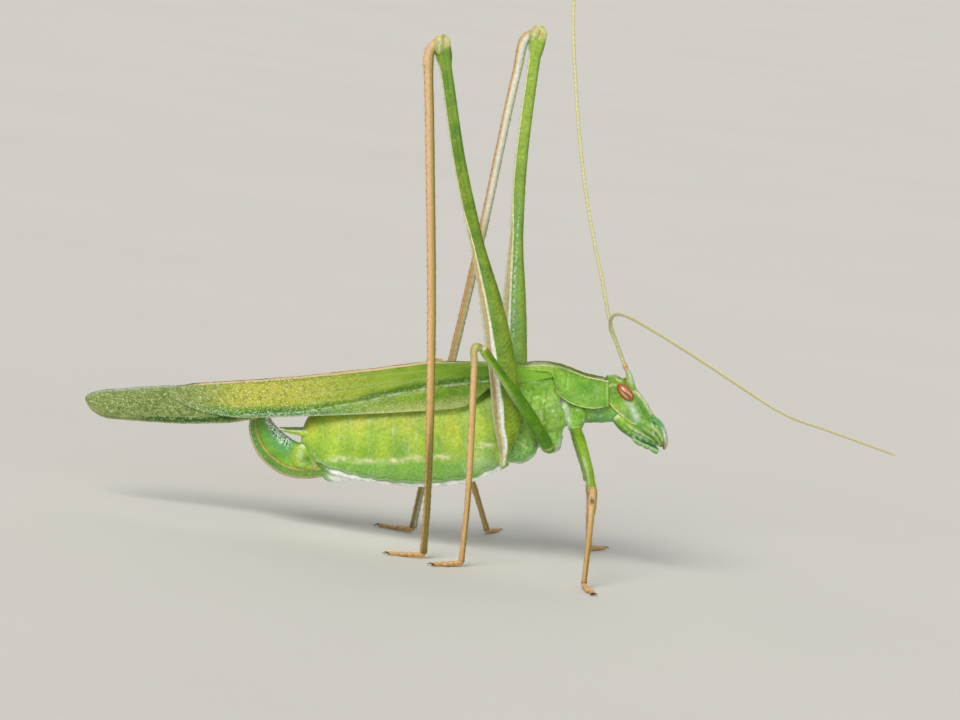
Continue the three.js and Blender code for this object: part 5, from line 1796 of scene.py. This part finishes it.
# %% Colours of a hind thigh
def hind_thigh_zones(made):
    tt, cc, ss, ridge, slit = made.t, made.outer, made.s, made.ridge, made.slit
    knee = step(tt, 0.962, 0.982)
    rough = ripples(made.points, 0.25, 82)
    speckle = step(ripples(made.points, 0.13, 83), 0.5, 1.5)
    bright_side = step(ripples(made.points, 1.5, 84), -1.0, 1.0)
    broad = stations(
        (0, 0.7), (0.03, 0.5), (0.06, 0.2), (0.09, -0.12), (0.14, -0.18), (0.22, -0.28), (0.35, -0.24),
        (0.5, -0.32), (0.62, -0.68), (0.9, -0.68), (1, -0.95),
    )(tt)
    on_band = fade(ss, broad - 0.03, broad + 0.03) * fade(tt, 0.93, 0.95)
    share = (ss + 1) / (broad + 1)
    seam_at = stations((0, 0.47), (0.25, 0.47), (0.34, 0.68), (1, 0.7))(tt)
    edge_to = stations((0, 1.1), (0.25, 1.1), (0.33, 0.3), (0.5, 0.34), (0.62, 1.1))(tt)
    pink_from = stations((0, 0.18), (0.25, 0.18), (0.33, 0.32), (1, 0.34))(tt)
    pale = np.minimum(
        1, 1 - step(share, edge_to, edge_to + 0.08) + step(share, seam_at + 0.02, seam_at + 0.08),
    )
    pink = (
        on_band * step(share, pink_from, pink_from + 0.06)
        * fade(share, seam_at - 0.03, seam_at + 0.03) * fade(tt, 0.46, 0.6)
    )
    seam_wide = stations((0, 0.035), (0.1, 0.05), (0.16, 0.11), (0.25, 0.06), (1, 0.04))(tt)
    brown_line = (
        on_band * peak(share - seam_at + 0.015 * rough, seam_wide) * (1 - 0.6 * step(tt, 0.26, 0.32))
        * fade(tt, 0.4, 0.6)
    )
    pale_pink = on_band * step(share, 0.47, 0.53) * fade(share, 0.72, 0.8) * fade(tt, 0.2, 0.26)
    dark_line = peak(ss - broad - 0.07, 0.05) * step(tt, 0.3, 0.5) * fade(tt, 0.88, 0.93)
    outer_face = step(cc, -0.2, 0.2)
    sparkle_line = stations((0.15, -0.15), (0.38, 0.0), (0.55, 0.2))(tt)
    painted_glints = peak(ss - sparkle_line, 0.12) * step(ripples(made.points, 0.1, 85), -0.1, 0.8)
    painted_glints = painted_glints * step(tt, 0.14, 0.2) * fade(tt, 0.5, 0.62)
    return {
        "frost": strongest(
            on_band * (1 - pink) * (0.9 - 0.5 * step(tt, 0.3, 0.6)) * (0.3 + 0.7 * pale),
            0.12 * (1 - outer_face) * speckle,
            0.1 * outer_face * speckle * step(tt, 0.12, 0.25) * fade(ss, 0.1, 0.5),
            # painted glints: a row of pale highlight dots along the inner face
            0.8 * (1 - outer_face) * painted_glints,
        ),
        "white": on_band * pale
        * np.maximum(0.6 * step(share, 0.66, 0.76) * fade(tt, 0.3, 0.42), 0.4 * step(tt, 0.3, 0.5)),
        "cream": strongest(
            on_band * pale * (0.25 + 0.6 * step(tt, 0.28, 0.5))
            * (1 - 0.8 * step(share, 0.5, 0.7) * fade(tt, 0.26, 0.36)),
            0.6 * knee * (1 - slit),
            0.5 * fade(tt, 0.02, 0.05),
        ),
        "pink": strongest(
            (0.8 - 0.35 * fade(tt, 0.18, 0.3)) * pink,
            0.45 * pale_pink,
            0.3 * knee * step(ss, 0.2, 0.9),
        ),
        "brown": strongest(
            (0.55 + 0.25 * step(tt, 0.13, 0.2)) * brown_line,
            0.7 * slit,
            0.4 * knee * step(rough, 0.2, 1.0) * step(ss, -0.2, 0.5),
        ),
        "deep": strongest(
            0.6 * dark_line,
            np.clip(-ridge, 0, 1) * 0.5 * outer_face,
            0.2 * outer_face * step(tt, 0.1, 0.2) * fade(tt, 0.42, 0.55) * (1 - on_band) * bright_side,
            0.3 * peak(ss - 0.1, 0.12) * step(tt, 0.5, 0.7) * (1 - knee) * outer_face,
            0.3 * speckle * outer_face * fade(tt, 0.5, 0.7),
            0.12 * (1 - outer_face) * step(ss, 0.3, 0.8) * (1 - knee) * step(tt, 0.2, 0.3),
            0.35 * step(ss, 0.5, 0.95) * step(tt, 0.2, 0.4) * (1 - knee),
        ),
        "lime": np.clip(ridge, 0, 1) * 0.25
        + 0.22 * (1 - outer_face) * (1 - on_band)
        + 0.25 * step(tt, 0.6, 0.9) * (1 - outer_face)
        + 0.35 * step(ss, 0.8, 0.95) * fade(tt, 0.12, 0.2),
        "teal": 0.22 * step(tt, 0.5, 0.9) * (1 - on_band) * outer_face
        + 0.25 * outer_face * (1 - on_band) * fade(ss, 0.1, 0.5) * step(tt, 0.15, 0.3) * fade(tt, 0.5, 0.6)
        + (0.15 + 0.35 * fade(ss, 0.25, 0.55) * step(tt, 0.1, 0.25) * fade(tt, 0.5, 0.7))
        * (1 - outer_face),
    }


def slim_thigh_zones(kind, made):
    tt, ss = made.t, made.s
    # a painted highlight streak along the mid and fore thighs, laid on as frost and, on the mid thigh, teal
    painted_highlight = peak(ss + 0.15 + 0.5 * tt, 0.3)
    return {
        "deep": of_kind(kind, 0, 0.22, 0.0) * step(ss, 0.0, 0.6) * fade(tt, 0.9, 0.97),
        "frost": of_kind(kind, 0, 0.25, 0.18) * painted_highlight * step(tt, 0.35, 0.6) * fade(tt, 0.9, 0.96),
        "teal": of_kind(kind, 0, 0.1, 0.0) * painted_highlight,
        "lime": of_kind(kind, 0, 0.5, 0.0) * step(tt, 0.45, 0.75) * fade(ss, -0.1, 0.5),
        "cream": np.maximum(
            0.85 * step(tt, 0.95, 0.975),
            of_kind(kind, 0, 0.45, 0.7) * peak(tt - 0.035, 0.01),
        ),
        "brown": of_kind(kind, 0, 0.4, 0.1) * step(ss, 0.3, 0.8) * step(tt, 0.85, 0.93)
        * fade(tt, 0.95, 0.97)
        + 0.4 * made.slit,
    }


# %% [markdown]
# The knee's cheeks hold the head of the shin between them, as two flat egg shapes.

# %% Knees
def knee_cheeks(kind, middle, shin_start):
    """Two rounded cheeks that hold the head of the shin."""
    size = 0.45 if kind == "hind" else 0.24
    ahead = unit(middle[-1] - middle[-12])
    towards = unit(np.array(shin_start, float) - middle[-8])
    sideways = unit(np.cross(ahead, towards))
    cheeks = []
    for hand in (-1, 1):
        centre = middle[-1] + sideways * hand * size * 0.5 + towards * size * 0.5 - ahead * size * 1.0
        turn = np.linspace(0.05, np.pi - 0.05, 28)
        path = centre - np.cos(turn)[:, None] * size * (0.95 * ahead - 0.2 * towards)
        cheeks.append(limb(path, np.sin(turn) * size * 0.62, np.sin(turn) * size * 0.24, sideways, 28))
    return merged(*cheeks)


# %% [markdown]
# Shins are four-sided rods. The hind shin carries four rows of small dark-tipped thorns, slanting
# towards the foot, with which she braces herself, and the fore shin is swollen below the knee,
# where a slit on each side opens into the ear. Feet have four joints with soft pads, and end in
# two claws.

# %% Shins
EAR_AT = 0.17


def shin(kind, side, points, knee):
    count, around = (420, 28) if kind == "hind" else (170, 28)
    middle = thread([knee, *points], count)
    middle[:, 2] = np.maximum(middle[:, 2], 0.22)
    t = np.linspace(0, 1, count)
    half = stations(*FORMS[kind]["shin"])(t) * (1.07 if kind == "hind" else 1.0)
    grid = tube(middle, half, half * 1.08, (1, 0, 0), around, 2.9)
    length = length_of(middle)
    c, s = ring_angles(around, 2.9)
    grid = grid + outwards(grid) * (0.004 * ripples(grid, 0.25, 91))[..., None]
    if kind == "fore":
        ear = peak(t[:, None] - EAR_AT, 0.045) * peak(np.abs(c) - 1, 0.35) * (np.abs(s) < 0.5)
        grid = grid - outwards(grid) * (0.07 * ear)[..., None]
    made = closed(grid, None, c, s)
    tt, cc, ss = made.t, made.c * side, made.s
    inner_face = step(-cc, -0.3, 0.5)
    ripe = of_kind(kind, 0.62, 0.62, 0.38) - 0.3 * inner_face
    lower_down = step(tt, ripe, ripe + 0.2)
    below_knee = fade(tt, 0.04, 0.16) * (kind == "mid")
    low = step(tt, *of_kind(kind, (0.7, 0.84), (0.5, 0.75), (0.5, 0.75)))
    shade_from = of_kind(kind, 0.08, 0.3, 0.1) - of_kind(kind, 0.9, 0.2, 0.2) * low
    masks = {
        "peach": of_kind(kind, 0.8, 0.75, 0.3) * (1 - 0.5 * low) * (1 - 0.55 * inner_face)
        * step(-ss, -0.3, 0.5)
        * (1 - 0.8 * below_knee),
        "amber": (of_kind(kind, 0.5, 0.1, 0.45) + 0.25 * low * (kind == "hind")) * lower_down
        * (1 - 0.7 * step(-ss, 0.2, 0.7)),
        # painted shade on the side turned away from the key light, reaching further round lower down
        "painted_shade": (of_kind(kind, 0.7, 0.6, 0.4) + 0.25 * low)
        * step(ss, shade_from, shade_from + 0.8 - 0.2 * low),
        "green": of_kind(kind, 0.3, 0.2, 0.2) * step(ss, -0.2, 0.3) * fade(ss, 0.5, 0.9) * (1 - low)
        + 0.35 * inner_face * step(ss, 0.0, 0.6) + 0.55 * below_knee,
        # frost: a painted bluish-white sheen on the inner face of the upper shin, flecked on the hind
        # shins, and a painted highlight line along the upper shin
        "frost": strongest(
            of_kind(kind, 0.9, 0.35, 0.1)
            * inner_face * step(ss, -0.65, -0.2) * (1 - 0.5 * step(ss, 0.0, 0.6)) * fade(tt, 0.35, 0.45),
            of_kind(kind, 0.4, 0, 0)
            * inner_face * step(ss, -0.25, 0.2) * step(tt, 0.35, 0.45)
            * (0.6 + 0.4 * step(ripples(made.points, 0.13, 92), 0.2, 1.0)),
            0.25 * peak(ss + 0.1, 0.2) * fade(tt, 0.2, 0.5),
        ),
        "dark": 0.35 * step(tt, 0.985, 1.0),
        **grain_of(made, length),
    }
    if kind == "fore":
        masks["dark"] = np.maximum(
            masks["dark"],
            0.8 * peak(tt - EAR_AT, 0.035) * peak(np.abs(cc) - 1, 0.2) * (np.abs(ss) < 0.45),
        )
    return made, masks, middle, half, length


print("the ear lies at", EAR_AT, "of the fore shin")

# %% [markdown]
# Thorns, and later hairs, are thin cones. They are made from arrays of base and tip points as one
# mesh, because a thousand separate cones would be slow.

# %% Thorns
def spikes(bases, tips, radii, sides=5):
    """Thin cones from base points to tips, as one shape; t is 0 at each base and 1 at its tip."""
    bases, tips = np.asarray(bases, float), np.asarray(tips, float)
    ahead = unit(tips - bases)
    side = unit(np.cross(ahead, np.where(np.abs(ahead[:, 2:]) > 0.8, [[1.0, 0, 0]], [[0, 0, 1.0]])))
    top = np.cross(ahead, side)
    turn = np.linspace(0, 2 * np.pi, sides, endpoint=False)[:, None]
    radii = np.broadcast_to(radii, len(bases))[:, None, None]
    ring = bases[:, None] + radii * (np.cos(turn) * side[:, None] + np.sin(turn) * top[:, None])
    points = np.concatenate([ring, tips[:, None]], 1)
    faces = []
    for k in range(len(bases)):
        a = k * (sides + 1)
        faces += [[a + j, a + (j + 1) % sides, a + sides] for j in range(sides)]
        faces.append([a + j for j in reversed(range(sides))])
    t = np.tile(np.append(np.zeros(sides), 1.0), len(bases))
    return Shape(points=points.reshape(-1, 3), faces=faces, t=t, c=t * 0, s=t * 0)


CORNERS = ((1, 1), (-1, 1), (1, -1), (-1, -1))


def thorns(kind, middle, half, length, seed):
    """Rows of thorns on the corners of a shin, each slanting towards the foot."""
    rng = np.random.default_rng(seed)
    spacing, size = of_kind(kind, (0.42, 0.2), (0.8, 0.16), (0.75, 0.15))
    ahead, side, top = directions(middle)
    bases, tips = [], []
    for across, rise in CORNERS:
        for mm in np.arange(1.6, length - 0.3, spacing):
            place = np.clip((mm + rng.uniform(-0.08, 0.08)) / length, 0, 0.99) * (len(middle) - 1)
            i = int(place)
            corner = unit(side[i] * across + top[i] * rise)
            base = middle[i] + corner * half[i] * 1.1
            bases.append(base - corner * 0.03)
            tips.append(base + (corner * 0.62 + ahead[i] * 0.78) * size * rng.uniform(0.75, 1.1))
    i = len(middle) - 4
    for across, rise in CORNERS:
        corner = unit(side[i] * across + top[i] * rise)
        bases.append(middle[i] + corner * half[i] * 0.8)
        tips.append(middle[i] + corner * (half[i] + 0.14) + ahead[i] * 0.02 + (0, 0, 0.03))
    return spikes(bases, tips, 0.03)


print("thorns stand on", len(CORNERS), "corners")

# %% [markdown]
# A foot lies flat on the floor. Its first three joints have broad pads, the last one is a thin
# rod, and the two claws spread from its end and touch the floor with their points.

# %% Feet and claws
def foot(ankle, heading):
    """Four joints with pads along the floor, and two claws."""
    turn = math.radians(heading)
    along = np.array([math.cos(turn), math.sin(turn), 0])
    aside = np.array([-math.sin(turn), math.cos(turn), 0])
    count, around = 130, 24
    t = np.linspace(0, 1, count)
    i, inside = joint_of(t, (0.3, 0.5, 0.72))
    wide = np.array([0.17, 0.2, 0.27, 0.12])[i] * (0.6 + 0.4 * np.sin(np.pi * inside**1.3) ** 0.7)
    wide[i == 3] = (0.1 + 0.05 * inside[i == 3])
    tall = np.array([0.17, 0.15, 0.13, 0.11])[i] * (0.75 + 0.25 * np.sin(np.pi * inside))
    middle = np.array([ankle[0], ankle[1], 0.0]) + along * (t[:, None] * FOOT * 0.93 - 0.08)
    middle[:, 2] = tall * 0.92 + stations((0, 0.14), (0.12, 0.03), (1, 0.02))(t)
    grid = tube(middle, wide, tall, (0, 0, 1), around, 2.3)
    grid[..., 2] = np.maximum(grid[..., 2], 0.0)
    c, s = ring_angles(around, 2.3)
    made = closed(grid, None, c, s)
    pads = np.append(np.repeat(inside, around), [0, 1])
    masks = {
        "peach": 0.45 * step(made.s, 0.0, 0.6),
        "amber": 0.5 * peak(pads, 0.12),
        "frost": 0.5 * step(-made.s, 0.6, 0.95),
        "dark": 0.4 * step(made.t, 0.96, 1.0),
        **grain_of(made, FOOT),
    }
    end = middle[-1]
    hooks = []
    for hand in (-1, 1):
        arc = [
            end + aside * hand * 0.03,
            end + aside * hand * 0.12 + along * 0.12 + (0, 0, 0.05),
            end + aside * hand * 0.16 + along * 0.24 + (0, 0, -0.0),
            end + aside * hand * 0.15 + along * 0.29 + (0, 0, 0.03 - end[2]),
        ]
        size = np.linspace(0.05, 0.01, 24)
        hooks.append(limb(thread(arc, 24), size, size, (0, 0, 1), 10))
    return made, masks, merged(*hooks)


print("feet are", FOOT, "mm long")

# %% [markdown]
# Fine hairs stand on the legs, mostly leaning towards the foot. They are 0.1 to 0.25 mm long and
# two hundredths of a millimetre thick, which only shows as a soft edge. The draw is
# seeded, so each run grows the same hairs.

# %% Hairs
HAIR_PALE = straw_cuticle("hair_pale", "#d9cfa6", "#b9a878", 0.5)


def hairs(middle, sagittal, sideways, count, seed, power=2.2, longest=0.22):
    rng = np.random.default_rng(seed)
    ahead, side, top = directions(middle)
    i = rng.integers(4, len(middle) - 6, count)
    turn = rng.uniform(0, 2 * np.pi, count)
    c, s = round_power(np.cos(turn), power), round_power(np.sin(turn), power)
    root = middle[i] + side[i] * (sideways[i] * c)[:, None] + top[i] * (sagittal[i] * s)[:, None]
    out = unit(side[i] * (c / sideways[i])[:, None] + top[i] * (s / sagittal[i])[:, None])
    long = rng.uniform(0.4, 1.0, count)[:, None] * longest
    lean = unit(
        out * rng.uniform(0.5, 0.9, count)[:, None] + ahead[i] * 0.75 + rng.normal(0, 0.12, (count, 3)),
    )
    return spikes(root - out * 0.02, root + lean * long, 0.009, 3)


print("material", HAIR_PALE.name)

# %% [markdown]
# With the parts ready, each leg is put together. The hip is already part of the trunk's skin.

# %% Six legs
for number, ((kind, side), (thigh_line, shin_line, heading)) in enumerate(LEGS.items()):
    name, tag = f"{kind}_{HANDS[side]}", f"{kind}_{TAGS[side]}"
    femur, middle, length = thigh(kind, side, thigh_line)
    masks = hind_thigh_zones(femur) if kind == "hind" else slim_thigh_zones(kind, femur)
    piece(
        f"thigh_{name}", femur, THIGH_GREENS[kind], [f"{tag}_femur"], masks,
        in_trunk=False,
    )
    cheeks = knee_cheeks(kind, middle, shin_line[0])
    spots = step(ripples(cheeks.points, 0.2, 95), 0.2, 1.2)
    cheek_masks = {
        "cream": 0.25 + 0.35 * step(cheeks.t, 0.3, 0.8),
        "pink": 0.4 * step(cheeks.t, 0.4, 0.8),
        "brown": 0.5 * spots * step(cheeks.t, 0.5, 0.9),
        "frost": 0.4 * peak(cheeks.c, 0.3) * step(cheeks.s, 0.0, 0.5),
    }
    piece(f"knee_{name}", cheeks, THIGH_GREENS[kind], [], cheek_masks, in_trunk=False)
    hinge = middle[-1] - unit(middle[-1] - middle[-12]) * of_kind(kind, 0.42, 0.25, 0.2)
    tibia, masks, shin_middle, half, shin_length = shin(kind, side, shin_line, hinge)
    piece(f"shin_{name}", tibia, shin_straw, [f"{tag}_tibia"], masks, in_trunk=False)
    spines = thorns(kind, shin_middle, half, shin_length, 100 + number)
    spine_masks = {"dark": step(spines.t, 0.2, 0.9), "amber": 0.6 * (1 - spines.t), **grain_of(spines, 1)}
    piece(f"thorns_{name}", spines, shin_straw, [], spine_masks, in_trunk=False)
    tarsus, masks, claws = foot(shin_line[-1], heading)
    piece(f"foot_{name}", tarsus, shin_straw, [f"{tag}_tarsus"], masks, in_trunk=False)
    piece(f"claws_{name}", claws, claw_horn, [], grain_of(claws, 1), in_trunk=False)
    t = np.linspace(0, 1, len(middle))
    form = FORMS[kind]
    amount = 900 if kind == "hind" else 260
    fuzz = merged(
        hairs(middle, stations(*form["sagittal"])(t), stations(*form["sideways"])(t), amount, 200 + number),
        hairs(shin_middle, half * 1.08, half, amount, 300 + number, 2.9, 0.25),
    )
    piece(f"hairs_{name}", fuzz, HAIR_PALE, [], grain_of(fuzz, 1), in_trunk=False)
    print(
        name, "thigh", round(length, 1), "mm, shin", round(shin_length, 1), "mm,",
        len(spines.points) // 6, "thorns",
    )

# %% [markdown]
# ## Camera, floor and light
#
# A small animal is best seen from a short distance through a long lens, so the camera stands 0.3 m
# away with a focal length of 200 mm and is rolled with the trunk. The floor is matt pale paper.
# Three wide suns give a bright key, a cool fill from the front and a weak light on the far side.

# %% Camera
def look(camera, target, distance, elevation, roll):
    back = Vector((0, -math.cos(elevation), math.sin(elevation)))
    flat, tall = Vector((1, 0, 0)), Vector((0, math.sin(elevation), math.cos(elevation)))
    right = flat * math.cos(roll) + tall * math.sin(roll)
    up = tall * math.cos(roll) - flat * math.sin(roll)
    turn = Matrix((right, up, back)).transposed()
    camera.matrix_world = Matrix.Translation(target + back * distance) @ turn.to_4x4()


camera_data = bpy.data.cameras.new("camera")
camera = put("camera", camera_data)
camera_data.sensor_width, camera_data.lens = 36.0, 202.5
camera_data.clip_start, camera_data.clip_end = 0.01, 50.0
aim = Vector((OVER_FLOOR[0], OVER_FLOOR[1], LIFT)) * MM
look(camera, aim, distance=0.3, elevation=math.radians(6.5), roll=PITCH)
bpy.context.scene.camera = camera
print("camera at", [round(v, 3) for v in camera.matrix_world.translation])

# %% [markdown]
# The floor is large enough to fill the view behind the animal. A faint cloudiness keeps it from
# looking like an empty render.

# %% Floor and world
floor_mesh = bpy.data.meshes.new("floor")
reach = 8.0
floor_mesh.from_pydata(
    [(-reach, -reach, 0), (reach, -reach, 0), (reach, reach, 0), (-reach, reach, 0)], [], [(0, 1, 2, 3)]
)
floor = put("floor", floor_mesh)
paper, tree, place = blank_material("pale_paper")
cloud = node(tree, "TexNoise", {"Scale": 30.0, "Detail": 3.0}, {"Vector": place})
tone = blend(tree, cloud.outputs["Fac"], hue("#dfdedb"), hue("#e6e5e2"))
shader = node(tree, "BsdfPrincipled", {"Roughness": 0.9}, {"Base Color": tone})
node(tree, "OutputMaterial", links={"Surface": shader.outputs[0]})
floor_mesh.materials.append(paper)

world = bpy.data.worlds.new("studio")
world.use_nodes = True
world.node_tree.nodes["Background"].inputs[0].default_value = hue("#eef1f4")
world.node_tree.nodes["Background"].inputs[1].default_value = 0.28
bpy.context.scene.world = world
bpy.context.scene.view_settings.view_transform = "Standard"
print("floor", 2 * reach, "m wide")


# %% [markdown]
# Sun lamps with a wide disc are used, since a lamp at a finite distance would make the near legs
# brighter than the far feeler.

# %% Lamps
def soft_sun(name, towards, strength, spread, tint):
    """A far lamp with a wide disc, which lights near and far alike and throws soft shadows."""
    data = bpy.data.lights.new(name, "SUN")
    data.energy, data.angle, data.color = strength, spread, hue(tint)[:3]
    lamp = put(name, data)
    lamp.rotation_mode = "QUATERNION"
    lamp.rotation_quaternion = Vector(towards).to_track_quat("Z", "Y")


soft_sun("key", (-0.45, -1.0, 0.95), 2.1, 0.5, "#fff8ec")
soft_sun("fill", (0.5, -1.0, 0.12), 1.1, 0.9, "#f8faff")
soft_sun("rim", (0.1, 1.0, 0.42), 0.7, 0.9, "#fffaf2")
print("lamps", len(bpy.data.lights))
